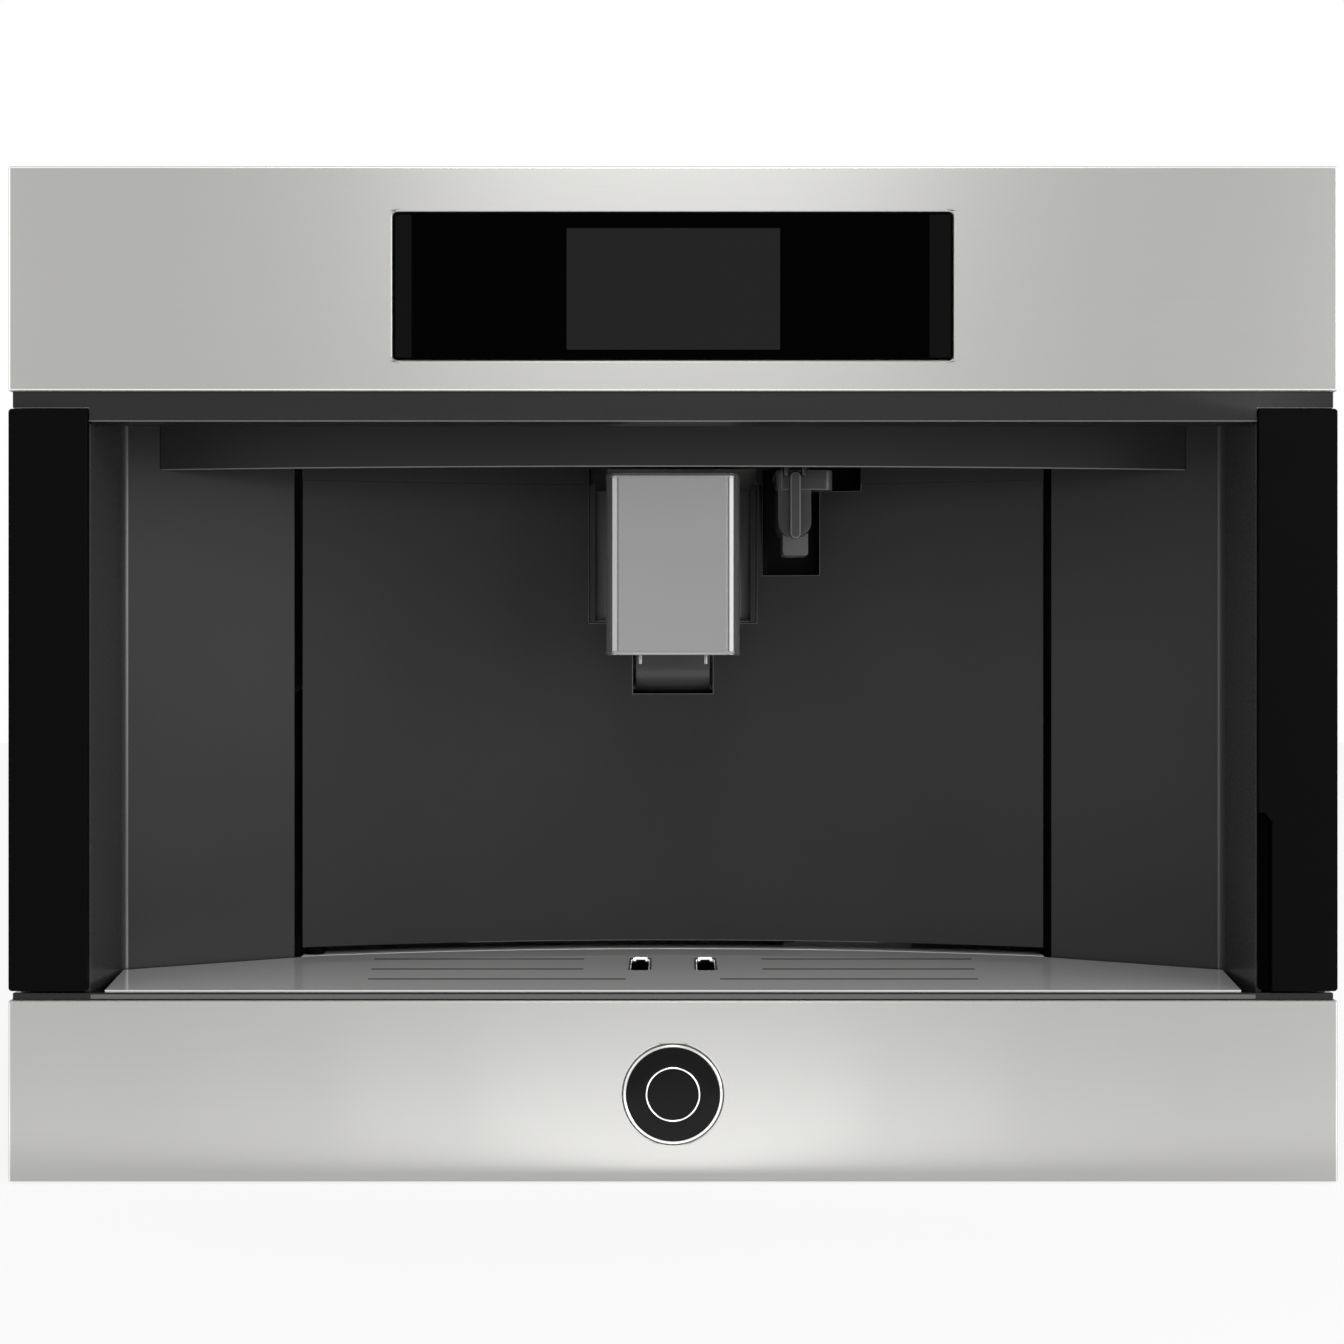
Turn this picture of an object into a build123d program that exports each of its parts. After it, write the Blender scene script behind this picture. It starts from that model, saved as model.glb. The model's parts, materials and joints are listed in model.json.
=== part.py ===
from build123d import *
import math
import os

os.makedirs("parts", exist_ok=True)

# Built-in coffee machine, millimetres.
# X runs to the right seen from the front, Y to the back, Z up.
# The origin is at the middle of the footprint, on the cabinet floor.
# A depth d is counted from the front face of the steel panels, towards the back.

# ---------------------------------------------------------------- driving sizes
front_width = 595.0         # steel front, a standard 600 mm cabinet front
top_z = 455.0               # top edge of the steel front
floor_gap = 0.5             # front's lower edge above the cabinet floor
overall_depth = 412.0       # badge rim to the back end of the rails
badge_proud = 0.8           # badge rim in front of the steel
half_width = front_width / 2
front_y = -overall_depth / 2 + badge_proud
rails_end = overall_depth - badge_proud

sheet = 1.2                 # folded steel and zinc-plated sheet
skin = 2.5                  # moulded walls of the cup bay
fit = 0.3                   # gap between pieces that slide or sit in each other
pin_fit = 0.05              # radial running clearance of a pin in its bore
piston_fit = 0.08           # and of the brew piston
screw_fit = 0.1             # and of a screw in its hole

# rails that the machine is pulled out on
rail_height = 47.0
rail_sheet = 1.6
rail_screw_radius = 2.5
rail_screw_in = 7.0         # screw's middle from the inner edge of the rail's foot
rail_screw_front = 50.0     # first screw from the rail's front end
rail_screw_span = 285.0
rail_front_gap = 4.2        # rails start behind the front frame

# front openings
upper_panel_height = 100.7
bay_strip = 13.4            # frame's strip between the upper panel and the bay
lower_panel_z = 81.6        # upper edge of the lower steel panel
bay_step = 3.2              # frame's strip between the lower panel and the bay
panel_return = 20.0         # folded edge of a steel panel
frame_face = 2.0            # frame's face behind the steel
frame_back = 22.0
stop_thick = 1.0            # stop strips on the frame's back rest on the cabinet's edges
stop_width = 14.0
stop_margin = 20.0
upper_panel_z = top_z - upper_panel_height
bay_top_z = upper_panel_z - bay_strip
bay_floor_z = lower_panel_z + bay_step

# display
glass_width = 250.4
glass_height = 65.8
glass_drop = 3.35           # display's middle under the panel's middle
glass_thick = 3.0
glass_corner = 2.0
lcd_width = 104.0
lcd_thick = 9.0
window_margin = 3.0         # frame left round the window, behind the glass
glass_z = (upper_panel_z + top_z) / 2 - glass_drop

# pull bars beside the bay
bar_width = 35.4
bar_base_gap = 4.1          # bar's lower end over the lower panel
bar_top_gap = 7.8           # bar's upper end under the upper panel
bar_plate = 4.5             # thickness of a bar's front plate
bar_depth = 14.0
bar_rib_inset = 6.0         # the bar's rear block stands back from the plate's edges
notch_width = 6.0           # finger notch in the right bar's inner edge
notch_height = 79.9
notch_depth = 3.0
bar_base_z = lower_panel_z + bar_base_gap
bar_top_z = upper_panel_z - bar_top_gap

# badge
badge_drop = 42.0           # badge's middle under the lower panel's upper edge
badge_radius = 22.35
badge_rim = 1.6
badge_disc_thick = 2.2
badge_z = lower_panel_z - badge_drop

# cup bay, in plan: jamb, angled wall, curved door
jamb_flare = 3.4            # jamb's back edge stands further out than its front edge
jamb_front_gap = 0.1        # jamb's front edge inside the bar's inner edge
jamb_front_d = 5.0
jamb_back_d = 76.0
jamb_corner_radius = 7.0
wall_reach = 75.4           # the angled wall comes in from the jamb by this much
wall_end_d = 123.0
door_side_gap = 3.0         # door's side edge to the angled wall's end
door_side_d = 128.0         # door face at its two edges
door_middle_d = 159.0       # door face at its middle
door_thick = 3.0
door_base_gap = 4.0         # door's lower edge over the cup plate
ceiling_rise = 9.1          # ceiling over the frame's opening
door_top_drop = 24.5        # door's upper edge under the ceiling
ceiling_thick = 3.0
jamb_front_x = half_width - bar_width - jamb_front_gap
jamb_back_x = jamb_front_x + jamb_flare
wall_end_x = jamb_back_x - wall_reach
door_half = wall_end_x - door_side_gap
ceiling_z = bay_top_z + ceiling_rise
door_top_z = ceiling_z - door_top_drop

# shroud under the ceiling
shroud_inset = 14.4         # shroud's end from the jamb's back edge
shroud_side_d = 86.0
shroud_middle_d = 66.0
shroud_drop = 23.4
shroud_half = jamb_back_x - shroud_inset
shroud_base_z = ceiling_z - shroud_drop

# drip tray and cup plate
plate_rise = 0.7            # top of the cup plate over the frame's lower strip
plate_thick = 1.2
plate_gap = 2.8             # plate's edge to the bay's walls
plate_front_in = 6.5        # plate's front corner from the jamb
plate_rear_gap = 2.4        # plate to the fixed sill behind it
tray_wall = 2.0
tray_inset = 1.5            # tray's wall stands in from the plate's edge
slot_width = 1.0
front_slot_d = 42.0         # three rows of slots: depth, inner end, outer end
front_slot_in = 21.9
front_slot_out = 142.3
middle_slot_d = 77.0
middle_slot_in = 43.1
middle_slot_out = 145.4
rear_slot_d = 114.5
rear_slot_in = 44.3
rear_slot_out = 149.0
drain_x = 16.0              # the two drain holes lie under the two nozzles
drain_width = 8.6
drain_length = 40.0
drain_corner = 2.0
sill_front = 1.5            # sill reaches out under the door
sill_depth = 16.0
sill_top = 3.0
plate_z = bay_floor_z + plate_rise
door_base_z = plate_z + door_base_gap
plate_front_x = jamb_front_x - plate_front_in

# coffee spout
spout_half = 32.2
spout_height = 86.9
spout_drop = 1.9            # spout's top under the door's upper edge
spout_front_d = 67.0
spout_back_gap = 34.0       # spout's back in front of the door's middle
spout_corner = 6.5
spout_shell = 2.0
nozzle_x = drain_x
nozzle_radius = 1.2
nozzle_length = 4.6
nozzle_set_back = 25.0      # nozzles behind the spout's front
arm_height = 17.0           # part of the carriage that reaches through the door
spout_top_z = door_top_z - spout_drop
spout_base_z = spout_top_z - spout_height
spout_back_d = door_middle_d - spout_back_gap
nozzle_d = spout_front_d + nozzle_set_back

# guide of the spout in the door
guide_half = 43.0
guide_height = 71.2
rack_x = 33.2               # inner side of the toothed strips
rack_width = 2.2
rack_pitch = 3.0
guide_base_z = door_top_z - guide_height

# finger scoop under the guide
scoop_half = 20.7
scoop_height = 36.8
scoop_bend_rise = 12.9      # the plate bends back under this height
scoop_gap = 1.5
scoop_base_z = guide_base_z - scoop_height
scoop_bend_z = scoop_base_z + scoop_bend_rise

# hot-water outlet
outlet_left_x = 46.4        # cut-out in the door
outlet_right_x = 75.6
outlet_height = 46.9
outlet_side_x = 96.7        # the cut-out's side arm
outlet_side_height = 3.6
outlet_rise = 8.5           # the cut-out goes on into the fixed header
outlet_base_z = door_top_z - outlet_height
outlet_side_z = door_top_z - outlet_side_height
outlet_top_z = door_top_z + outlet_rise

# casing behind the front
casing_side_gap = 6.6       # casing's side outside the bay's wall
casing_base_in = 10.0       # casing is narrower between the rails
casing_base_z = 5.5
casing_step_gap = 2.0       # casing widens above the rails
casing_top_drop = 6.0
casing_back_gap = 13.2      # rails reach past the casing's back
well_rise = 3.0             # well of the drip tray over the casing's step
casing_half = jamb_back_x + casing_side_gap
casing_base_half = casing_half - casing_base_in
casing_step_z = rail_height + casing_step_gap
casing_top_z = top_z - casing_top_drop
casing_back_d = rails_end - casing_back_gap
well_floor_z = casing_step_z + well_rise


# ---------------------------------------------------------------- helpers
def slab(x0, x1, d0, d1, z0, z1, mode=Mode.ADD):
    """Block between limits in X, in depth and in Z."""
    with Locations(((x0 + x1) / 2, front_y + (d0 + d1) / 2, (z0 + z1) / 2)):
        Box(abs(x1 - x0), abs(d1 - d0), abs(z1 - z0), mode=mode)


def rod(x, d, z0, z1, radius, mode=Mode.ADD):
    """Upright round bar."""
    with Locations((x, front_y + d, (z0 + z1) / 2)):
        Cylinder(radius, z1 - z0, mode=mode)


def bar(x, d0, d1, z, radius, mode=Mode.ADD):
    """Round bar that lies along the depth."""
    with Locations(Location((x, front_y + (d0 + d1) / 2, z), (90, 0, 0))):
        Cylinder(radius, d1 - d0, mode=mode)


def prism(points, z0, z1, mode=Mode.ADD):
    """Upright block over a plan outline of (x, depth) corners."""
    with BuildSketch(Plane.XY.offset(z0), mode=Mode.PRIVATE) as outline:
        with BuildLine():
            Polyline(*[(x, front_y + d) for x, d in points], close=True)
        make_face()
    extrude(outline.sketch, amount=z1 - z0, mode=mode)


def arc_radius(half, rise):
    """Radius of an arc from its half chord and its rise."""
    return (half**2 + rise**2) / (2 * rise)


def arc_band(half, side_d, middle_d, thick, z0, z1, mode=Mode.ADD):
    """Upright panel, curved in plan, with its face through the given depths."""
    with BuildSketch(Plane.XY.offset(z0), mode=Mode.PRIVATE) as outline:
        with BuildLine():
            left, right = front_y + side_d, front_y + side_d + thick
            ThreePointArc((-half, left), (0, front_y + middle_d), (half, left))
            Line((half, left), (half, right))
            ThreePointArc((half, right), (0, front_y + middle_d + thick), (-half, right))
            Line((-half, right), (-half, left))
        make_face()
    extrude(outline.sketch, amount=z1 - z0, mode=mode)


door_radius = arc_radius(door_half, door_middle_d - door_side_d)


def door_face(x):
    """Depth of the door's face at a distance x from the middle."""
    centre_d = door_middle_d - door_radius
    return centre_d + math.sqrt(door_radius**2 - x**2)


def save(piece, label):
    """Name a finished piece and write its file."""
    piece.part.label = label
    export_step(piece.part, f"parts/{label}.step")


sides = ((-1, "left"), (1, "right"))


# ---------------------------------------------------------------- front
frame_half = half_width - sheet - fit
window_half = glass_width / 2 - window_margin
window_low = glass_z - glass_height / 2 + window_margin
window_high = glass_z + glass_height / 2 - window_margin
stile_x = jamb_back_x + skin + fit
tray_front_d = jamb_front_d + fit

with BuildPart() as upper_fascia:
    slab(-half_width, half_width, 0, sheet, upper_panel_z, top_z)
    slab(-half_width, half_width, 0, panel_return, top_z - sheet, top_z)
    slab(-half_width, half_width, 0, frame_face, upper_panel_z, upper_panel_z + sheet)
    for side, word in sides:
        slab(side * half_width, side * (half_width - sheet), 0, panel_return, upper_panel_z, top_z)
    with BuildSketch(Plane.XZ.offset(-front_y)):
        with Locations((0, glass_z)):
            RectangleRounded(glass_width + 2 * fit, glass_height + 2 * fit, glass_corner + fit)
    extrude(amount=-sheet, mode=Mode.SUBTRACT)
save(upper_fascia, "upper_fascia")

with BuildPart() as lower_fascia:
    slab(-half_width, half_width, 0, sheet, floor_gap, lower_panel_z)
    slab(-half_width, half_width, 0, panel_return, floor_gap, floor_gap + sheet)
    slab(-half_width, half_width, 0, frame_face, lower_panel_z - sheet, lower_panel_z)
    for side, word in sides:
        slab(side * half_width, side * (half_width - sheet), 0, panel_return, floor_gap, lower_panel_z)
    bar(0, 0, sheet, badge_z, badge_radius + fit, mode=Mode.SUBTRACT)
save(lower_fascia, "lower_fascia")

with BuildPart() as front_frame:
    slab(-frame_half, frame_half, frame_face, frame_back, floor_gap + sheet + fit, top_z - sheet - fit)
    slab(-frame_half, frame_half, 0, frame_back, bay_floor_z, bay_top_z, mode=Mode.SUBTRACT)
    for side, word in sides:
        slab(side * stile_x, side * frame_half, bar_depth, frame_back, bay_floor_z, bay_top_z)
        slab(
            side * (half_width - bar_width), side * half_width,
            0, bar_depth, bar_base_z - fit, bar_top_z + fit, mode=Mode.SUBTRACT,
        )
    slab(
        -stile_x, stile_x, jamb_front_d - fit, frame_back, well_floor_z - skin, bay_floor_z,
        mode=Mode.SUBTRACT,
    )
    slab(
        -glass_width / 2 - fit, glass_width / 2 + fit, 0, glass_thick,
        glass_z - glass_height / 2 - fit, glass_z + glass_height / 2 + fit, mode=Mode.SUBTRACT,
    )
    slab(-window_half, window_half, 0, frame_back, window_low, window_high, mode=Mode.SUBTRACT)
    bar(0, 0, badge_disc_thick, badge_z, badge_radius + fit, mode=Mode.SUBTRACT)
    for side, word in sides:
        slab(
            side * (frame_half - stop_width), side * frame_half, frame_back - stop_thick,
            frame_back + stop_thick, floor_gap + stop_margin, top_z - stop_margin,
        )
save(front_frame, "front_frame")

with BuildPart() as display_glass:
    with BuildSketch(Plane.XZ.offset(-front_y)):
        with Locations((0, glass_z)):
            RectangleRounded(glass_width, glass_height, glass_corner)
    extrude(amount=-glass_thick)
save(display_glass, "display_glass")

with BuildPart() as display_screen:
    slab(
        -lcd_width / 2, lcd_width / 2, glass_thick, glass_thick + lcd_thick,
        window_low + fit, window_high - fit,
    )
save(display_screen, "display_screen")

board_thick = 1.6
board_d = glass_thick + lcd_thick
touch_key = 14.0
touch_key_x = 82.0
with BuildPart() as control_board:
    slab(
        -window_half + fit, window_half - fit, board_d, board_d + board_thick,
        window_low + fit, window_high - fit,
    )
    for side, word in sides:
        for row_z in (glass_z - touch_key, glass_z + touch_key):
            slab(
                side * touch_key_x - touch_key / 2, side * touch_key_x + touch_key / 2,
                glass_thick, board_d, row_z - touch_key / 2, row_z + touch_key / 2,
            )
save(control_board, "control_board")

with BuildPart() as badge_disc:
    bar(0, 0, badge_disc_thick, badge_z, badge_radius - badge_rim)
save(badge_disc, "badge_disc")

with BuildPart() as badge_ring:
    bar(0, -badge_proud, badge_disc_thick, badge_z, badge_radius)
    bar(0, -badge_proud, badge_disc_thick, badge_z, badge_radius - badge_rim, mode=Mode.SUBTRACT)
save(badge_ring, "badge_ring")

for side, word in sides:
    with BuildPart() as pull_bar:
        inner_x = half_width - bar_width
        rib_x = stile_x + bar_rib_inset
        slab(side * inner_x, side * half_width, 0, bar_plate, bar_base_z, bar_top_z)
        slab(
            side * rib_x, side * (half_width - bar_rib_inset), bar_plate, bar_depth,
            bar_base_z + bar_rib_inset, bar_top_z - bar_rib_inset,
        )
        if word == "right":
            slab(
                inner_x, inner_x + notch_width, 0, notch_depth,
                bar_base_z, bar_base_z + notch_height, mode=Mode.SUBTRACT,
            )
    save(pull_bar, f"pull_bar_{word}")


# ---------------------------------------------------------------- cup bay
wall_run = math.hypot(jamb_back_x - wall_end_x, wall_end_d - jamb_back_d)
wall_in_x = -(wall_end_d - jamb_back_d) / wall_run      # into the bay, square to the angled wall
wall_in_d = -(jamb_back_x - wall_end_x) / wall_run
flange_step = 4.0           # return flange stands out from the wall's end
flange_x = wall_end_x + flange_step
flange_depth = 42.0
ceiling_over = 17.0         # ceiling reaches past the door's middle
flange_back_d = wall_end_d + flange_depth
ceiling_back_d = door_middle_d + ceiling_over


def behind_wall(side, gap, depth):
    """Corners of a strip behind the angled wall's face, moved into the bay by a gap."""
    strip = []
    for x, d, step in (
        (jamb_back_x, jamb_back_d, gap), (wall_end_x, wall_end_d, gap),
        (wall_end_x, wall_end_d, -depth), (jamb_back_x, jamb_back_d, -depth),
    ):
        strip.append((side * (x + wall_in_x * step), d + wall_in_d * step))
    return strip


for side, word in sides:
    with BuildPart() as cavity_wall:
        with BuildSketch(Plane.XY.offset(well_floor_z)):
            with BuildLine():
                FilletPolyline(
                    (side * jamb_front_x, front_y + jamb_front_d),
                    (side * jamb_back_x, front_y + jamb_back_d),
                    (side * wall_end_x, front_y + wall_end_d),
                    radius=jamb_corner_radius,
                )
                offset(amount=skin, side=Side.LEFT if side < 0 else Side.RIGHT, closed=True)
            make_face()
        extrude(amount=ceiling_z - well_floor_z)
        slab(
            side * flange_x, side * (flange_x + skin), wall_end_d - skin / 2, flange_back_d,
            well_floor_z, ceiling_z,
        )
        slab(
            side * wall_end_x, side * front_width, 0, frame_back + fit,
            bay_top_z - fit, ceiling_z, mode=Mode.SUBTRACT,
        )
    save(cavity_wall, f"cavity_{word}_wall")

with BuildPart() as cavity_ceiling:
    slab(
        -stile_x, stile_x, frame_back + fit, ceiling_back_d,
        ceiling_z, ceiling_z + ceiling_thick,
    )
save(cavity_ceiling, "cavity_ceiling")

with BuildPart() as cavity_shroud:
    arc_band(shroud_half, shroud_side_d, shroud_middle_d, door_thick, shroud_base_z, ceiling_z)
    for side, word in sides:
        prism(behind_wall(side, fit, panel_return), shroud_base_z, ceiling_z, mode=Mode.SUBTRACT)
save(cavity_shroud, "cavity_shroud")

lamp_x = 120.0
lamp_d = 108.0
lamp_radius = 14.0
lamp_thick = 4.0
with BuildPart() as bay_lamps:
    for side, word in sides:
        rod(side * lamp_x, lamp_d, ceiling_z - lamp_thick, ceiling_z, lamp_radius)
save(bay_lamps, "bay_lamps")

header_gap = 0.5            # hairline between the door and the header
header_base_z = door_top_z + header_gap
with BuildPart() as door_header:
    arc_band(door_half, door_side_d, door_middle_d, door_thick, header_base_z, ceiling_z)
    slab(
        -guide_half - fit, guide_half + fit, door_side_d, ceiling_back_d,
        header_base_z, outlet_top_z, mode=Mode.SUBTRACT,
    )
    slab(
        outlet_left_x, outlet_side_x, door_side_d, ceiling_back_d,
        header_base_z, outlet_top_z, mode=Mode.SUBTRACT,
    )
save(door_header, "door_header")

with BuildPart() as door_sill:
    arc_band(
        door_half, door_side_d - sill_front, door_middle_d - sill_front, sill_depth,
        plate_z - sill_top, plate_z,
    )
    arc_band(
        door_half, door_side_d - sill_front, door_middle_d - sill_front, skin,
        well_floor_z, plate_z,
    )
save(door_sill, "door_sill")

well_back_d = door_middle_d + sill_depth
with BuildPart() as tray_well:
    prism(
        (
            (-stile_x, tray_front_d), (stile_x, tray_front_d), (stile_x, jamb_back_d + skin),
            (flange_x + skin, wall_end_d), (flange_x + skin, well_back_d),
            (-flange_x - skin, well_back_d), (-flange_x - skin, wall_end_d),
            (-stile_x, jamb_back_d + skin),
        ),
        well_floor_z - skin + fit, well_floor_z,
    )
save(tray_well, "tray_well")


def tray_outline(z, inset):
    """Plan of the cup plate at a height, drawn in from its edge."""
    rear_x = door_half - plate_gap
    rear_d = door_face(rear_x) - sill_front - plate_rear_gap
    rear_middle = door_middle_d - sill_front - plate_rear_gap
    corner_x = jamb_back_x + wall_in_x * plate_gap
    corner_d = jamb_back_d + wall_in_d * plate_gap
    end_x = wall_end_x + wall_in_x * plate_gap
    end_d = wall_end_d + wall_in_d * plate_gap
    with BuildSketch(Plane.XY.offset(z), mode=Mode.PRIVATE) as outline:
        with BuildLine():
            Polyline(
                (-rear_x, front_y + rear_d), (-end_x, front_y + end_d),
                (-corner_x, front_y + corner_d), (-plate_front_x, front_y + tray_front_d),
                (plate_front_x, front_y + tray_front_d), (corner_x, front_y + corner_d),
                (end_x, front_y + end_d), (rear_x, front_y + rear_d),
            )
            ThreePointArc(
                (rear_x, front_y + rear_d), (0, front_y + rear_middle), (-rear_x, front_y + rear_d)
            )
        make_face()
        if inset > 0:
            offset(amount=-inset)
    return outline.sketch


tray_top_z = plate_z - plate_thick
with BuildPart() as drip_tray:
    extrude(tray_outline(well_floor_z, tray_inset), amount=tray_top_z - well_floor_z)
    extrude(
        tray_outline(well_floor_z + tray_wall, tray_inset + tray_wall),
        amount=tray_top_z - well_floor_z, mode=Mode.SUBTRACT,
    )
save(drip_tray, "drip_tray")

plate_slots = (
    (front_slot_d, front_slot_in, front_slot_out),
    (middle_slot_d, middle_slot_in, middle_slot_out),
    (rear_slot_d, rear_slot_in, rear_slot_out),
)
with BuildPart() as cup_plate:
    extrude(tray_outline(tray_top_z, 0), amount=plate_thick)
    for slot_d, slot_in, slot_out in plate_slots:
        for side, word in sides:
            slab(
                side * slot_in, side * slot_out, slot_d - slot_width / 2, slot_d + slot_width / 2,
                tray_top_z, plate_z, mode=Mode.SUBTRACT,
            )
    with BuildSketch(Plane.XY.offset(tray_top_z)):
        with Locations((-drain_x, front_y + nozzle_d), (drain_x, front_y + nozzle_d)):
            RectangleRounded(drain_width, drain_length, drain_corner)
    extrude(amount=plate_thick, mode=Mode.SUBTRACT)
save(cup_plate, "cup_plate")


# ---------------------------------------------------------------- service door
hinge_in = 5.0              # hinge axis in from the door's edge
hinge_set_back = 8.0        # and behind its face
hinge_x = -door_half + hinge_in
hinge_d = door_side_d + hinge_set_back
pin_radius = 3.0
pin_length = 16.0
knuckle_radius = 6.0
knuckle_height = 20.0
collar_radius = 5.0
rib_depth = 10.0
rib_thick = 2.5
scoop_end_gap = 0.5
scoop_set_in = 1.0

with BuildPart() as service_door:
    arc_band(door_half, door_side_d, door_middle_d, door_thick, door_base_z, door_top_z)
    for rib_z in (door_base_z, door_top_z - rib_thick):
        arc_band(door_half, door_side_d, door_middle_d, rib_depth, rib_z, rib_z + rib_thick)
    slab(
        door_half - rib_thick, door_half, door_side_d + sill_front, door_side_d + rib_depth,
        door_base_z, door_top_z,
    )
    for low_z in (door_base_z, door_top_z - knuckle_height):
        rod(hinge_x, hinge_d, low_z, low_z + knuckle_height, knuckle_radius)
    rod(hinge_x, hinge_d, door_base_z, door_base_z + pin_length, pin_radius + pin_fit, Mode.SUBTRACT)
    rod(hinge_x, hinge_d, door_top_z - pin_length, door_top_z, pin_radius + pin_fit, Mode.SUBTRACT)
    slab(
        -guide_half - fit, guide_half + fit, door_side_d, ceiling_back_d,
        guide_base_z - fit, door_top_z, mode=Mode.SUBTRACT,
    )
    slab(
        -scoop_half, scoop_half, door_side_d, ceiling_back_d,
        scoop_base_z, guide_base_z, mode=Mode.SUBTRACT,
    )
    slab(
        outlet_left_x, outlet_right_x, door_side_d, ceiling_back_d,
        outlet_base_z, door_top_z, mode=Mode.SUBTRACT,
    )
    slab(
        outlet_right_x, outlet_side_x, door_side_d, ceiling_back_d,
        outlet_side_z, door_top_z, mode=Mode.SUBTRACT,
    )

# two pegs on the door's back carry the grounds container
peg_width = 12.0
peg_z = 172.0
peg_thick = 5.0
peg_reach = 9.5             # pegs reach behind the door's middle
peg_lip = 2.0
peg_lip_height = 3.0
peg_in = 26.0               # pegs in from the container's sides
bin_left = -140.0
bin_right = -12.0
peg_reach_d = door_middle_d + peg_reach
peg_centres = (bin_left + peg_in, bin_right - peg_in)
with service_door:
    for peg_x in peg_centres:
        slab(
            peg_x - peg_width / 2, peg_x + peg_width / 2,
            door_face(peg_x) + door_thick / 2, peg_reach_d, peg_z, peg_z + peg_thick,
        )
        slab(
            peg_x - peg_width / 2, peg_x + peg_width / 2, peg_reach_d - peg_lip, peg_reach_d,
            peg_z + peg_thick, peg_z + peg_thick + peg_lip_height,
        )
save(service_door, "service_door")

with BuildPart() as door_hinge_pins:
    rod(hinge_x, hinge_d, plate_z, door_base_z - fit, collar_radius)
    rod(hinge_x, hinge_d, plate_z, door_base_z + pin_length - fit, pin_radius)
    rod(hinge_x, hinge_d, door_top_z - pin_length + fit, header_base_z, pin_radius)
save(door_hinge_pins, "door_hinge_pins")

latch_z = 205.0
latch_height = 20.0
latch_reach = 14.0
with BuildPart() as latch_magnet:
    slab(
        door_half - rib_thick - latch_reach / 2, flange_x, door_side_d + rib_depth + fit,
        door_side_d + rib_depth + latch_reach, latch_z, latch_z + latch_height,
    )
save(latch_magnet, "latch_magnet")

# ---------------------------------------------------------------- spout guide
guide_wall = 3.0
guide_depth = 4.0           # guide's floor behind the door's middle
guide_flange = 6.0
lip_thick = 0.9
guide_floor_d = door_middle_d + guide_depth
carriage_half = rack_x - fit
with BuildPart() as spout_guide:
    slab(
        -guide_half - guide_flange, guide_half + guide_flange, guide_floor_d, guide_floor_d + skin,
        guide_base_z, door_top_z - rib_thick - fit,
    )
    slab(-guide_half, guide_half, door_middle_d, guide_floor_d, guide_base_z, guide_base_z + lip_thick)
    for side, word in sides:
        slab(
            side * guide_half, side * (guide_half - guide_wall), door_face(guide_half), guide_floor_d,
            guide_base_z, door_top_z,
        )
        slab(
            side * rack_x, side * (rack_x + rack_width), door_middle_d, guide_floor_d,
            guide_base_z + guide_wall, door_top_z - arm_height,
        )
        tooth_count = int((door_top_z - arm_height - guide_base_z - guide_wall) / rack_pitch) - 1
        for tooth in range(tooth_count):
            tooth_z = guide_base_z + guide_wall + rack_pitch * (tooth + 1)
            slab(
                side * rack_x, side * (rack_x + rack_width / 2), door_middle_d,
                door_middle_d + guide_wall, tooth_z - rack_pitch / 4, tooth_z + rack_pitch / 4,
                mode=Mode.SUBTRACT,
            )
save(spout_guide, "spout_guide")

with BuildPart() as scoop_plate:
    plate_half = scoop_half - scoop_gap
    scoop_face_d = door_middle_d + scoop_set_in
    bend = scoop_bend_z - scoop_base_z - scoop_end_gap
    with BuildSketch(Plane.YZ.offset(-plate_half)):
        with BuildLine():
            FilletPolyline(
                (front_y + scoop_face_d, guide_base_z - fit),
                (front_y + scoop_face_d, scoop_bend_z),
                (front_y + scoop_face_d + bend, scoop_bend_z - bend),
                radius=bend,
            )
            offset(amount=door_thick, side=Side.LEFT, closed=True)
        make_face()
    extrude(amount=2 * plate_half)
save(scoop_plate, "scoop_plate")

# ---------------------------------------------------------------- coffee spout
with BuildPart() as spout_cover:
    with BuildSketch(Plane.XY.offset(spout_base_z)):
        with Locations((0, front_y + (spout_front_d + spout_back_d) / 2)):
            Rectangle(2 * spout_half, spout_back_d - spout_front_d)
    extrude(amount=spout_top_z - spout_base_z)
    fillet(
        spout_cover.edges().filter_by(Axis.Z).group_by(Axis.Y)[0],
        radius=spout_corner,
    )
    shell_back = spout_cover.faces().sort_by(Axis.Y)[-1]
    shell_base = spout_cover.faces().sort_by(Axis.Z)[0]
    offset(amount=-spout_shell, openings=[shell_back, shell_base])
save(spout_cover, "spout_cover")

body_half = spout_half - spout_shell - fit
body_front_d = spout_front_d + spout_shell + fit
with BuildPart() as spout_body:
    with BuildSketch(Plane.XY.offset(spout_base_z + fit)):
        with Locations((0, front_y + (body_front_d + spout_back_d) / 2)):
            Rectangle(2 * body_half, spout_back_d - body_front_d)
    extrude(amount=spout_top_z - spout_shell - spout_base_z - 2 * fit)
    fillet(
        spout_body.edges().filter_by(Axis.Z).group_by(Axis.Y)[0],
        radius=spout_corner - spout_shell,
    )
    slab(
        -carriage_half, carriage_half, spout_back_d, guide_floor_d - fit,
        spout_top_z - arm_height, spout_top_z,
    )
save(spout_body, "spout_body")

with BuildPart() as spout_nozzles:
    for side, word in sides:
        rod(
            side * nozzle_x, nozzle_d, spout_base_z + fit - nozzle_length, spout_base_z + fit,
            nozzle_radius,
        )
save(spout_nozzles, "spout_nozzles")

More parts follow.
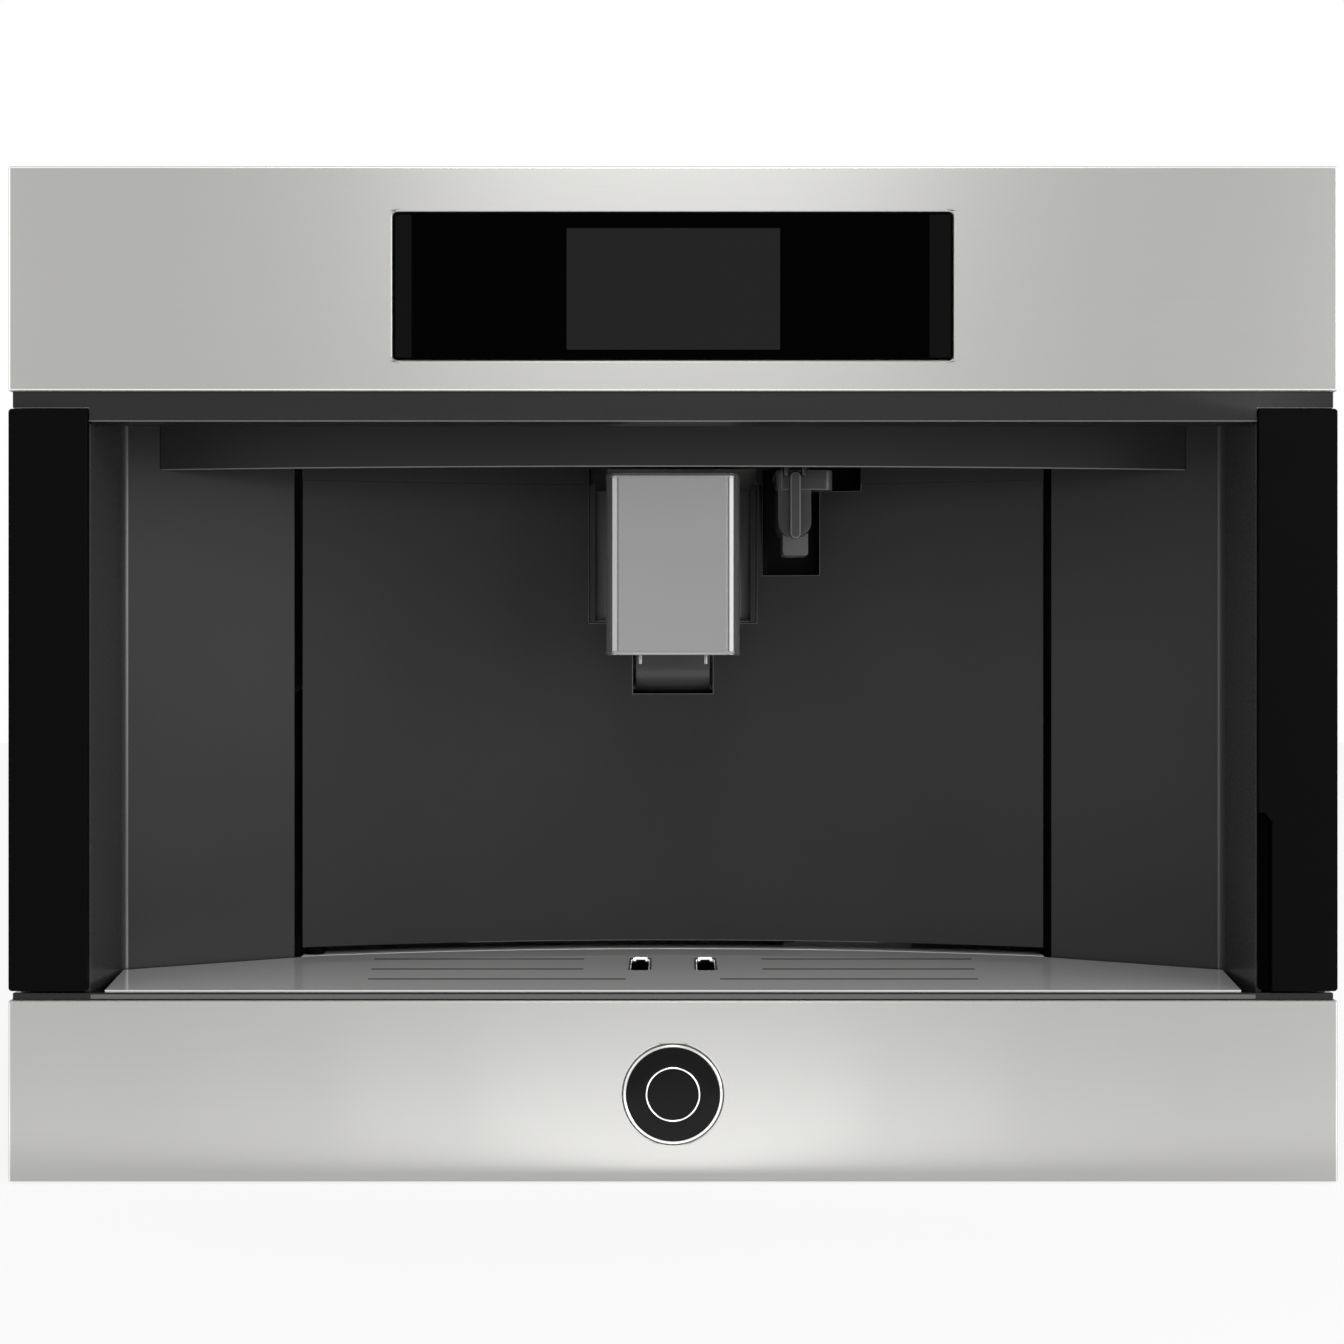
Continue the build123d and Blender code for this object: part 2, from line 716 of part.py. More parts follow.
# ---------------------------------------------------------------- hot-water outlet
bracket_left_x = 50.6
bracket_right_x = 79.8
bracket_height = 9.0
bracket_front_d = 133.0
outlet_body_left = 51.5
outlet_body_right = 68.0
outlet_body_front = 97.0
outlet_body_drop = 26.9     # body's lower end under the cut-out's side arm
water_tip_left = 53.9
water_tip_right = 66.6
water_tip_drop = 9.2
lever_left = 57.0
lever_right = 62.5
lever_front_d = 88.0
lever_overhang = 1.5        # lever reaches lower than the body
tube_radius = 4.0
socket_depth = 8.0
connector_set_back = 7.0    # connector behind the door's middle
connector_thick = 10.0
connector_plate = 8.0
connector_margin = 2.5      # plate round the door's cut-out
bracket_corner = 4.0
outlet_corner = 7.0
water_tip_corner = 1.5
water_tip_depth = 20.0
water_tip_overlap = 6.0     # tip reaches up into the body
outlet_body_base = outlet_side_z - outlet_body_drop
water_tip_base = outlet_body_base - water_tip_drop
lever_base_z = outlet_body_base - lever_overhang
connector_front_d = door_middle_d + connector_set_back
bracket_base_z = outlet_side_z + 2 * fit
bracket_top_z = bracket_base_z + bracket_height
tube_x = (outlet_body_left + outlet_body_right) / 2
tube_z = bracket_base_z + bracket_height / 2
lever_pivot_set_d = 4.0     # lever's axis in front of the body
lever_pivot_drop = 4.5      # and under the bracket's top
lever_pivot_d = outlet_body_front - lever_pivot_set_d
lever_pivot_z = bracket_top_z - lever_pivot_drop
lever_pin_radius = 1.0
lever_pin_length = 12.0

with BuildPart() as hot_water_spout:
    with BuildSketch(Plane.XZ.offset(-front_y - bracket_front_d)):
        with Locations(((bracket_left_x + bracket_right_x) / 2, tube_z)):
            RectangleRounded(bracket_right_x - bracket_left_x, bracket_height, bracket_corner)
    extrude(amount=-(door_face(bracket_right_x) - bracket_front_d - fit))
    with BuildSketch(Plane.XZ.offset(-front_y - outlet_body_front)):
        with Locations((tube_x, (outlet_body_base + bracket_top_z) / 2)):
            RectangleRounded(
                outlet_body_right - outlet_body_left, bracket_top_z - outlet_body_base, outlet_corner
            )
    extrude(amount=-(bracket_front_d - outlet_body_front))
    with BuildSketch(Plane.XZ.offset(-front_y - outlet_body_front - skin)):
        with Locations((
            (water_tip_left + water_tip_right) / 2,
            (water_tip_base + outlet_body_base + water_tip_overlap) / 2,
        )):
            RectangleRounded(
                water_tip_right - water_tip_left,
                outlet_body_base + water_tip_overlap - water_tip_base, water_tip_corner,
            )
    extrude(amount=-water_tip_depth)
    bar(tube_x, bracket_front_d, connector_front_d + socket_depth - fit, tube_z, tube_radius)
    rod(
        tube_x, outlet_body_front + skin + water_tip_depth / 2, water_tip_base, outlet_body_base,
        tube_radius, mode=Mode.SUBTRACT,
    )
    for ear_x in (lever_left - fit - skin, lever_right + fit):
        slab(
            ear_x, ear_x + skin, lever_pivot_d - skin, outlet_body_front + skin,
            lever_pivot_z - skin, lever_pivot_z + skin,
        )
    with Locations(Location((tube_x, front_y + lever_pivot_d, lever_pivot_z), (0, 90, 0))):
        Cylinder(lever_pin_radius, lever_pin_length)
save(hot_water_spout, "hot_water_spout")

with BuildPart() as hot_water_lever:
    with BuildSketch(Plane.YZ.offset(lever_left)):
        with BuildLine():
            Polyline(
                (front_y + lever_pivot_d + skin, lever_pivot_z + skin),
                (front_y + lever_front_d + skin, lever_pivot_z + skin),
                (front_y + lever_front_d, lever_pivot_z - skin),
                (front_y + lever_front_d, lever_base_z + skin),
                (front_y + lever_front_d + skin, lever_base_z),
                (front_y + outlet_body_front - 2 * skin, lever_base_z),
                (front_y + outlet_body_front - 2 * skin, lever_pivot_z - 2 * skin),
                (front_y + lever_pivot_d + skin, lever_pivot_z - skin),
                close=True,
            )
        make_face()
    extrude(amount=lever_right - lever_left)
    with Locations(Location((tube_x, front_y + lever_pivot_d, lever_pivot_z), (0, 90, 0))):
        Cylinder(lever_pin_radius + pin_fit, lever_pin_length, mode=Mode.SUBTRACT)
save(hot_water_lever, "hot_water_lever")

with BuildPart() as hot_water_connector:
    slab(
        outlet_left_x - connector_margin, outlet_side_x + connector_margin,
        connector_front_d + connector_thick - connector_plate, connector_front_d + connector_thick,
        outlet_base_z - connector_margin, ceiling_z,
    )
    bar(tube_x, connector_front_d, connector_front_d + connector_thick, tube_z, 2 * tube_radius)
    bar(
        tube_x, connector_front_d, connector_front_d + socket_depth, tube_z,
        tube_radius + pin_fit, mode=Mode.SUBTRACT,
    )
save(hot_water_connector, "hot_water_connector")

# ---------------------------------------------------------------- grounds container
bin_set_back = 11.0         # container's front behind the door's middle
bin_depth = 90.0
bin_height = 90.0
hook_rise = 9.0             # container's rim over its pegs
hook_set_back = 4.0
hook_thick = 2.2
bin_front_d = door_middle_d + bin_set_back
bin_back_d = bin_front_d + bin_depth
bin_top_z = peg_z + peg_thick + hook_rise
bin_base_z = bin_top_z - bin_height
hook_reach_d = door_middle_d + hook_set_back
with BuildPart() as grounds_container:
    slab(bin_left, bin_right, bin_front_d, bin_back_d, bin_base_z, bin_top_z)
    slab(
        bin_left + tray_wall, bin_right - tray_wall, bin_front_d + tray_wall,
        bin_back_d - tray_wall, bin_base_z + tray_wall, bin_top_z, mode=Mode.SUBTRACT,
    )
    for peg_x in peg_centres:
        slab(
            peg_x - peg_width / 2, peg_x + peg_width / 2, hook_reach_d, bin_front_d,
            bin_top_z - hook_thick, bin_top_z,
        )
        slab(
            peg_x - peg_width / 2, peg_x + peg_width / 2, hook_reach_d, hook_reach_d + hook_thick,
            peg_z + peg_thick, bin_top_z,
        )
save(grounds_container, "grounds_container")


# ---------------------------------------------------------------- casing
casing_front_d = frame_back + fit
plate_back_d = casing_back_d - sheet
inner_half = casing_half - sheet
step_low_z = casing_step_z - sheet

with BuildPart() as chassis_base:
    slab(
        -casing_base_half, casing_base_half, casing_front_d, plate_back_d,
        casing_base_z, casing_base_z + sheet,
    )
    for side, word in sides:
        slab(
            side * (casing_base_half - sheet), side * casing_base_half, casing_front_d, plate_back_d,
            casing_base_z, casing_step_z,
        )
        slab(
            side * casing_base_half, side * casing_half, casing_front_d, plate_back_d,
            step_low_z, casing_step_z,
        )
save(chassis_base, "chassis_base")

for side, word in sides:
    with BuildPart() as housing_side:
        slab(
            side * inner_half, side * casing_half, casing_front_d, plate_back_d,
            casing_step_z, casing_top_z,
        )
    save(housing_side, f"housing_{word}")

# mains inlet and switch in the back plate
inlet_x = -176.0
inlet_rise_z = 31.0         # socket's middle over the casing's step
inlet_z = casing_step_z + inlet_rise_z
inlet_width = 48.0
inlet_height = 28.0
inlet_flange = 4.0
inlet_flange_thick = 2.5
inlet_depth = 18.0
inlet_cavity_width = 24.0
inlet_cavity_height = 16.5
inlet_pin_pitch = 7.0
inlet_pin_width = 2.0
inlet_pin_height = 4.0
switch_x = -120.0
switch_width = 22.0
switch_height = 30.0

# screws that hold the casing's back plate
screw_radius = 2.0
screw_head_radius = 4.0
screw_head = 2.4
screw_length = 8.0
screw_edge = 12.0
screw_row_inset = 16.0
screw_rows = (casing_step_z + screw_row_inset, casing_top_z / 2, casing_top_z - screw_row_inset)
screw_spots = [
    (side * (inner_half - screw_edge), row_z) for side, word in sides for row_z in screw_rows
]

with BuildPart() as housing_back:
    slab(-casing_half, casing_half, plate_back_d, casing_back_d, casing_step_z, casing_top_z)
    slab(
        -casing_base_half, casing_base_half, plate_back_d, casing_back_d,
        casing_base_z, casing_step_z,
    )
    slab(
        inlet_x - inlet_width / 2, inlet_x + inlet_width / 2, plate_back_d, casing_back_d,
        inlet_z - inlet_height / 2, inlet_z + inlet_height / 2, mode=Mode.SUBTRACT,
    )
    slab(
        switch_x - switch_width / 2, switch_x + switch_width / 2, plate_back_d, casing_back_d,
        inlet_z - switch_height / 2, inlet_z + switch_height / 2, mode=Mode.SUBTRACT,
    )
    for screw_x, screw_z in screw_spots:
        bar(screw_x, plate_back_d, casing_back_d, screw_z, screw_radius + screw_fit, mode=Mode.SUBTRACT)
save(housing_back, "housing_back")

with BuildPart() as housing_screws:
    for screw_x, screw_z in screw_spots:
        bar(screw_x, casing_back_d, casing_back_d + screw_head, screw_z, screw_head_radius)
        bar(screw_x, casing_back_d - screw_length, casing_back_d, screw_z, screw_radius)
save(housing_screws, "housing_screws")

# one moulded module holds the mains socket and the rocker switch
rocker_pivot_in = 2.0       # rocker's axis inside the back plate's face
rocker_pivot_d = casing_back_d - rocker_pivot_in
rocker_in = 5.0
rocker_out = 4.5            # rocker's two ends stand out, its middle is drawn in
rocker_middle = 3.0
rocker_taper = 1.0
axle_radius = 1.5
rocker_half = switch_width / 2 - skin
rocker_rise = switch_height / 2 - 2 * skin
with BuildPart() as mains_inlet:
    inlet_half = inlet_width / 2 - fit
    inlet_rise = inlet_height / 2 - fit
    switch_half = switch_width / 2 - fit
    slab(
        inlet_x - inlet_half, inlet_x + inlet_half, casing_back_d - inlet_depth, casing_back_d,
        inlet_z - inlet_rise, inlet_z + inlet_rise,
    )
    slab(
        switch_x - switch_half, switch_x + switch_half, casing_back_d - inlet_depth, casing_back_d,
        inlet_z - switch_height / 2 + fit, inlet_z + switch_height / 2 - fit,
    )
    slab(
        inlet_x - inlet_half - inlet_flange, switch_x + switch_half + inlet_flange, casing_back_d,
        casing_back_d + inlet_flange_thick, inlet_z - switch_height / 2 - inlet_flange,
        inlet_z + switch_height / 2 + inlet_flange,
    )
    slab(
        inlet_x - inlet_cavity_width / 2, inlet_x + inlet_cavity_width / 2,
        casing_back_d - inlet_depth + skin, casing_back_d + inlet_flange_thick,
        inlet_z - inlet_cavity_height / 2, inlet_z + inlet_cavity_height / 2, mode=Mode.SUBTRACT,
    )
    slab(
        switch_x - rocker_half - fit, switch_x + rocker_half + fit,
        casing_back_d - inlet_depth + skin, casing_back_d + inlet_flange_thick,
        inlet_z - rocker_rise - 2 * fit, inlet_z + rocker_rise + 2 * fit, mode=Mode.SUBTRACT,
    )
    for pin in (-1, 0, 1):
        slab(
            inlet_x + pin * inlet_pin_pitch - inlet_pin_width / 2,
            inlet_x + pin * inlet_pin_pitch + inlet_pin_width / 2,
            casing_back_d - inlet_depth, casing_back_d - sheet,
            inlet_z - inlet_pin_height / 2, inlet_z + inlet_pin_height / 2,
        )
    with Locations(Location((switch_x, front_y + rocker_pivot_d, inlet_z), (0, 90, 0))):
        Cylinder(axle_radius + pin_fit, 2 * rocker_half + 2 * skin - fit, mode=Mode.SUBTRACT)
save(mains_inlet, "mains_inlet")

with BuildPart() as power_switch:
    with BuildSketch(Plane.YZ.offset(switch_x - rocker_half)):
        with BuildLine():
            Polyline(
                (front_y + rocker_pivot_d - rocker_in, inlet_z - rocker_rise + rocker_taper),
                (front_y + rocker_pivot_d + rocker_out, inlet_z - rocker_rise),
                (front_y + rocker_pivot_d + rocker_middle, inlet_z),
                (front_y + rocker_pivot_d + rocker_out, inlet_z + rocker_rise),
                (front_y + rocker_pivot_d - rocker_in, inlet_z + rocker_rise - rocker_taper),
                close=True,
            )
        make_face()
    extrude(amount=2 * rocker_half)
    with Locations(Location((switch_x, front_y + rocker_pivot_d, inlet_z), (0, 90, 0))):
        Cylinder(axle_radius, 2 * rocker_half + 2 * skin - 3 * fit)
save(power_switch, "power_switch")

# ---------------------------------------------------------------- what lies behind the bay
deck_z = 219.0
deck_thick = 3.0
deck_top_z = deck_z + deck_thick
deck_set_back = 27.0        # deck starts behind the door's middle
chute_left = -33.0
chute_right = -14.0
chute_set_back = 14.0
chute_depth = 40.0
deck_front_d = door_middle_d + deck_set_back
chute_front_d = deck_front_d + chute_set_back
chute_back_d = chute_front_d + chute_depth
with BuildPart() as inner_deck:
    slab(-inner_half, inner_half, deck_front_d, plate_back_d, deck_z, deck_top_z)
    slab(
        chute_left, chute_right, chute_front_d, chute_back_d, deck_z, deck_top_z,
        mode=Mode.SUBTRACT,
    )
save(inner_deck, "inner_deck")

lid_thick = 2.5
ear_thick = 3.0
barrel_radius = 2.5
stub_radius = 1.5
barrel_set_d = 3.5          # hinge axis behind the container's back wall
lid_back_gap = 1.0          # lid's edge swings past the hinge ears
ear_height = 10.0


def lid_axis_z(rim_z):
    """Height of a lid's hinge axis over its container's rim."""
    return rim_z + lid_thick / 2


def cross_rod(x0, x1, d, z, radius, mode=Mode.ADD):
    """Round bar that lies along X."""
    with Locations(Location(((x0 + x1) / 2, front_y + d, z), (0, 90, 0))):
        Cylinder(radius, x1 - x0, mode=mode)


def hinge_ears(x0, x1, back_d, rim_z):
    """Two ears on the back of a container, with bores for the lid's stubs."""
    for ear_x in (x0, x1 - ear_thick):
        slab(
            ear_x, ear_x + ear_thick, back_d, back_d + barrel_set_d + barrel_radius,
            rim_z - ear_height, lid_axis_z(rim_z) + barrel_radius,
        )
        cross_rod(
            ear_x, ear_x + ear_thick, back_d + barrel_set_d, lid_axis_z(rim_z),
            stub_radius + pin_fit, mode=Mode.SUBTRACT,
        )


def hinged_lid(x0, x1, front_d, back_d, rim_z):
    """Flat lid with a barrel along its back edge and a stub at each end."""
    barrel_in = x0 + ear_thick + fit
    barrel_out = x1 - ear_thick - fit
    slab(x0, x1, front_d, back_d - lid_back_gap, rim_z, rim_z + lid_thick)
    slab(
        barrel_in, barrel_out, back_d - lid_back_gap - fit, back_d + barrel_set_d, rim_z + fit,
        rim_z + lid_thick,
    )
    cross_rod(barrel_in, barrel_out, back_d + barrel_set_d, lid_axis_z(rim_z), barrel_radius)
    cross_rod(
        x0 + fit, x1 - fit, back_d + barrel_set_d, lid_axis_z(rim_z), stub_radius,
    )


tank_side_gap = 8.8         # tank to the casing's side plate
tank_width = 86.0
tank_front_gap = 14.0       # tank behind the deck's front edge
tank_back_gap = 20.8        # tank to the casing's back plate
tank_drop = 21.0            # tank's rim under the casing's top
tank_wall = 2.5
tank_corner = 10.0
tank_ear_inset = 12.0       # hinge ears stand clear of the tank's round corners
tank_right = inner_half - tank_side_gap
tank_left = tank_right - tank_width
tank_front_d = deck_front_d + tank_front_gap
tank_back_d = plate_back_d - tank_back_gap
tank_rim_z = casing_top_z - tank_drop
with BuildPart() as water_tank:
    slab(tank_left, tank_right, tank_front_d, tank_back_d, deck_top_z, tank_rim_z)
    fillet(water_tank.edges().filter_by(Axis.Z), radius=tank_corner)
    offset(amount=-tank_wall, openings=[water_tank.faces().sort_by(Axis.Z)[-1]])
    hinge_ears(
        tank_left + tank_ear_inset, tank_right - tank_ear_inset, tank_back_d, tank_rim_z,
    )
save(water_tank, "water_tank")

with BuildPart() as tank_lid:
    hinged_lid(
        tank_left + tank_ear_inset, tank_right - tank_ear_inset, tank_front_d, tank_back_d,
        tank_rim_z,
    )
    for side_x in (tank_left, tank_right - tank_ear_inset):
        slab(
            side_x, side_x + tank_ear_inset, tank_front_d, tank_back_d - tank_corner,
            tank_rim_z, tank_rim_z + lid_thick,
        )
save(tank_lid, "tank_lid")

hopper_left = -150.0
hopper_right = -30.0
hopper_front_gap = 14.0     # hopper behind the deck's front edge
hopper_depth = 130.0
rim_drop = 13.0             # rims of the hopper and the funnel under the casing's top
hopper_height = 51.0        # straight part of the hopper
cone_height = 40.0
throat_radius = 20.0
hopper_front_d = deck_front_d + hopper_front_gap
hopper_back_d = hopper_front_d + hopper_depth
hopper_rim_z = casing_top_z - rim_drop
hopper_base_z = hopper_rim_z - hopper_height
throat_z = hopper_base_z - cone_height
grinder_x = (hopper_left + hopper_right) / 2
grinder_d = (hopper_front_d + hopper_back_d) / 2
with BuildPart() as bean_hopper:
    slab(hopper_left, hopper_right, hopper_front_d, hopper_back_d, hopper_base_z, hopper_rim_z)
    slab(
        hopper_left + skin, hopper_right - skin, hopper_front_d + skin, hopper_back_d - skin,
        hopper_base_z, hopper_rim_z, mode=Mode.SUBTRACT,
    )
    hinge_ears(hopper_left, hopper_right, hopper_back_d, hopper_rim_z)
save(bean_hopper, "bean_hopper")

with BuildPart() as hopper_cone:
    for inset, mode in ((0, Mode.ADD), (skin, Mode.SUBTRACT)):
        with BuildSketch(Plane.XY.offset(hopper_base_z)):
            with Locations((grinder_x, front_y + grinder_d)):
                Rectangle(
                    hopper_right - hopper_left - 2 * inset, hopper_depth - 2 * inset
                )
        with BuildSketch(Plane.XY.offset(throat_z)):
            with Locations((grinder_x, front_y + grinder_d)):
                Rectangle(2 * throat_radius - 2 * inset, 2 * throat_radius - 2 * inset)
        loft(ruled=True, mode=mode)
save(hopper_cone, "hopper_cone")

with BuildPart() as hopper_lid:
    hinged_lid(hopper_left, hopper_right, hopper_front_d, hopper_back_d, hopper_rim_z)
save(hopper_lid, "hopper_lid")

grinder_radius = 44.0
burr_radius = 29.0
burr_height = 18.0
burr_shaft = 4.0
burr_shaft_length = 38.0
burr_drop = 27.0            # burr's underside under the hopper's throat
burr_clear = 2.0
burr_chamber = 3.0          # chamber's wall stands off the burr
burr_tooth_ring = 24.0
burr_teeth = 12
burr_slot_length = 8.0
burr_slot_width = 2.0
burr_slot_depth = 2.0
throat_lip = 4.0
burr_z = throat_z - burr_drop
with BuildPart() as grinder_body:
    rod(grinder_x, grinder_d, deck_top_z, throat_z, grinder_radius)
    rod(
        grinder_x, grinder_d, burr_z - burr_clear, throat_z, burr_radius + burr_chamber,
        mode=Mode.SUBTRACT,
    )
    rod(
        grinder_x, grinder_d, burr_z - burr_shaft_length - burr_clear, burr_z,
        burr_shaft + pin_fit, mode=Mode.SUBTRACT,
    )
    for side, word in sides:
        slab(
            grinder_x + side * (throat_radius - skin), grinder_x + side * (throat_radius + skin),
            grinder_d - burr_radius, grinder_d + burr_radius, throat_z - throat_lip, throat_z,
        )
save(grinder_body, "grinder_body")

with BuildPart() as grinder_burr:
    rod(grinder_x, grinder_d, burr_z, burr_z + burr_height, burr_radius)
    with Locations((grinder_x, front_y + grinder_d, burr_z + burr_height)):
        with PolarLocations(burr_tooth_ring, burr_teeth):
            Box(burr_slot_length, burr_slot_width, 2 * burr_slot_depth, mode=Mode.SUBTRACT)
    rod(grinder_x, grinder_d, burr_z - burr_shaft_length, burr_z, burr_shaft)
save(grinder_burr, "grinder_burr")

brew_width = 100.0
brew_front_gap = 6.0        # brew unit behind the deck's front edge
brew_depth = 98.0
brew_bore = 22.0
brew_x = 15.0
brew_set_back = 48.0        # bore behind the brew unit's front
brew_left = brew_x - brew_width / 2
brew_right = brew_x + brew_width / 2
brew_front_d = deck_front_d + brew_front_gap
brew_back_d = brew_front_d + brew_depth
brew_top_z = throat_z
brew_d = brew_front_d + brew_set_back
brew_floor = 20.0           # under the brew bore
brew_gate_wall = 8.0
brew_gate_back = 50.0
brew_gate_height = 60.0     # the gate lets spent coffee out to the chute
with BuildPart() as brew_unit:
    slab(brew_left, brew_right, brew_front_d, brew_back_d, deck_top_z, brew_top_z)
    rod(brew_x, brew_d, deck_top_z + brew_floor, brew_top_z, brew_bore, mode=Mode.SUBTRACT)
    slab(
        brew_left, brew_x - brew_bore - brew_gate_wall, brew_front_d + brew_gate_wall,
        brew_back_d - brew_gate_back, deck_top_z, deck_top_z + brew_gate_height,
        mode=Mode.SUBTRACT,
    )
save(brew_unit, "brew_unit")

piston_height = 30.0
piston_radius = brew_bore - piston_fit
with BuildPart() as brew_piston:
    rod(
        brew_x, brew_d, deck_top_z + brew_floor, deck_top_z + brew_floor + piston_height,
        piston_radius,
    )
save(brew_piston, "brew_piston")

funnel_width = 50.0
funnel_depth = 60.0
funnel_height = 31.0
funnel_throat = 11.0
funnel_seat = 4.0           # foot of the chute round the brew unit's bore
funnel_left = brew_x - funnel_width / 2
funnel_right = brew_x + funnel_width / 2
funnel_front_d = brew_d - funnel_depth / 2
funnel_back_d = brew_d + funnel_depth / 2
funnel_rim_z = casing_top_z - rim_drop
funnel_base_z = funnel_rim_z - funnel_height
with BuildPart() as powder_funnel:
    slab(funnel_left, funnel_right, funnel_front_d, funnel_back_d, funnel_base_z, funnel_rim_z)
    rod(brew_x, brew_d, brew_top_z, funnel_base_z, funnel_throat + skin)
    rod(brew_x, brew_d, brew_top_z, brew_top_z + skin, brew_bore + funnel_seat)
    with BuildSketch(Plane.XY.offset(funnel_rim_z)):
        with Locations((brew_x, front_y + brew_d)):
            Rectangle(funnel_right - funnel_left - 2 * skin, funnel_back_d - funnel_front_d - 2 * skin)
    with BuildSketch(Plane.XY.offset(funnel_base_z + skin)):
        with Locations((brew_x, front_y + brew_d)):
            Rectangle(2 * funnel_throat, 2 * funnel_throat)
    loft(ruled=True, mode=Mode.SUBTRACT)
    rod(brew_x, brew_d, brew_top_z, funnel_base_z + skin, funnel_throat, mode=Mode.SUBTRACT)
    hinge_ears(funnel_left, funnel_right, funnel_back_d, funnel_rim_z)
save(powder_funnel, "powder_funnel")

with BuildPart() as funnel_lid:
    hinged_lid(funnel_left, funnel_right, funnel_front_d, funnel_back_d, funnel_rim_z)
save(funnel_lid, "funnel_lid")

knob_step = 47.0            # knob beside the powder funnel
knob_radius = 14.0
knob_height = 5.0
knob_shaft = 3.0
knob_shaft_length = 9.0
knob_flutes = 16
knob_flute_radius = 1.0
opening_gap = 3.0
opening_back = 12.0
knob_x = brew_x + knob_step
knob_d = brew_d
with BuildPart() as housing_top:
    slab(
        -inner_half, inner_half, casing_front_d, plate_back_d, casing_top_z - sheet, casing_top_z,
    )
    for x0, x1, d0, d1 in (
        (tank_left, tank_right, tank_front_d, tank_back_d),
        (hopper_left, hopper_right, hopper_front_d, hopper_back_d),
        (funnel_left, funnel_right, funnel_front_d, funnel_back_d),
    ):
        slab(
            x0 - opening_gap, x1 + opening_gap, d0 - opening_gap, d1 + opening_back,
            casing_top_z - sheet, casing_top_z, mode=Mode.SUBTRACT,
        )
    rod(
        knob_x, knob_d, casing_top_z - sheet, casing_top_z, knob_shaft + pin_fit,
        mode=Mode.SUBTRACT,
    )
save(housing_top, "housing_top")

with BuildPart() as grinder_knob:
    rod(knob_x, knob_d, casing_top_z, casing_top_z + knob_height, knob_radius)
    rod(knob_x, knob_d, casing_top_z - knob_shaft_length, casing_top_z, knob_shaft)
    with Locations((knob_x, front_y + knob_d, casing_top_z + knob_height)):
        with PolarLocations(knob_radius, knob_flutes):
            Cylinder(knob_flute_radius, 2 * knob_height, mode=Mode.SUBTRACT)
save(grinder_knob, "grinder_knob")

heater_left = 60.0
heater_right = 130.0
heater_front_gap = 29.0     # heater behind the deck's front edge
heater_depth = 115.0
heater_base_z = 40.0
heater_top_z = 170.0
heater_foot_inset = 8.0
heater_foot_radius = 5.0
groove_count = 5
groove_first = 20.0
groove_pitch = 22.0
groove_size = 6.0
heater_front_d = deck_front_d + heater_front_gap
heater_back_d = heater_front_d + heater_depth
chassis_top_z = casing_base_z + sheet
with BuildPart() as thermoblock:
    slab(heater_left, heater_right, heater_front_d, heater_back_d, heater_base_z, heater_top_z)
    for foot_x in (heater_left + heater_foot_inset, heater_right - heater_foot_inset):
        for foot_d in (heater_front_d + heater_foot_inset, heater_back_d - heater_foot_inset):
            rod(foot_x, foot_d, chassis_top_z, heater_base_z, heater_foot_radius)
    for groove in range(groove_count):
        groove_z = heater_base_z + groove_first + groove * groove_pitch
        slab(
            heater_left, heater_left + groove_size, heater_front_d, heater_back_d,
            groove_z, groove_z + groove_size, mode=Mode.SUBTRACT,
        )
save(thermoblock, "thermoblock")

pump_side_gap = 77.0        # pump's middle to the casing's side, between the rails
pump_z = 42.0
pump_radius = 22.0
pump_body = 90.0
pump_neck = 30.0
pump_back_gap = 36.8        # pump to the casing's back plate
pump_saddle = 15.0          # saddle is shorter than the body at each end
pump_x = casing_base_half - pump_side_gap
pump_front_d = plate_back_d - pump_back_gap - pump_neck - pump_body
with BuildPart() as water_pump:
    bar(pump_x, pump_front_d, pump_front_d + pump_body, pump_z, pump_radius)
    bar(
        pump_x, pump_front_d + pump_body, pump_front_d + pump_body + pump_neck, pump_z,
        pump_radius / 2,
    )
    slab(
        pump_x - pump_radius, pump_x + pump_radius, pump_front_d + pump_saddle,
        pump_front_d + pump_body - pump_saddle, chassis_top_z, pump_z,
    )
save(water_pump, "water_pump")

meter_radius = 16.0
meter_height = 20.0
with BuildPart() as flow_meter:
    rod(
        (tank_left + tank_right) / 2, (tank_front_d + tank_back_d) / 2,
        deck_z - meter_height, deck_z, meter_radius,
    )
save(flow_meter, "flow_meter")

board_stand = 5.0
board_front_gap = 24.0      # power board behind the deck's front edge
board_back_gap = 16.8       # and in front of the back plate
board_base_gap = 14.0       # and over the deck
board_top_drop = 29.0       # and under the casing's top
board_corner = 8.0          # posts in from the board's corners
post_radius = 3.0
transformer_thick = 32.0
transformer_size = 45.0
relay_thick = 16.0
relay_size = 26.0
connector_rise = 12.0
connector_row = 10.0
capacitor_radius = 9.0
capacitor_height = 25.0
capacitor_pitch = 30.0
board_margin = 14.0         # blocks in from the board's edges
board_front_d = deck_front_d + board_front_gap
board_back_d = plate_back_d - board_back_gap
board_base_z = deck_top_z + board_base_gap
board_top_z = casing_top_z - board_top_drop
board_face_x = -inner_half + board_stand + board_thick
block_front_d = board_front_d + board_margin
block_back_d = board_back_d - board_margin
block_base_z = board_base_z + board_margin
row_top_z = board_top_z - board_margin
capacitor_z = (board_base_z + board_top_z) / 2
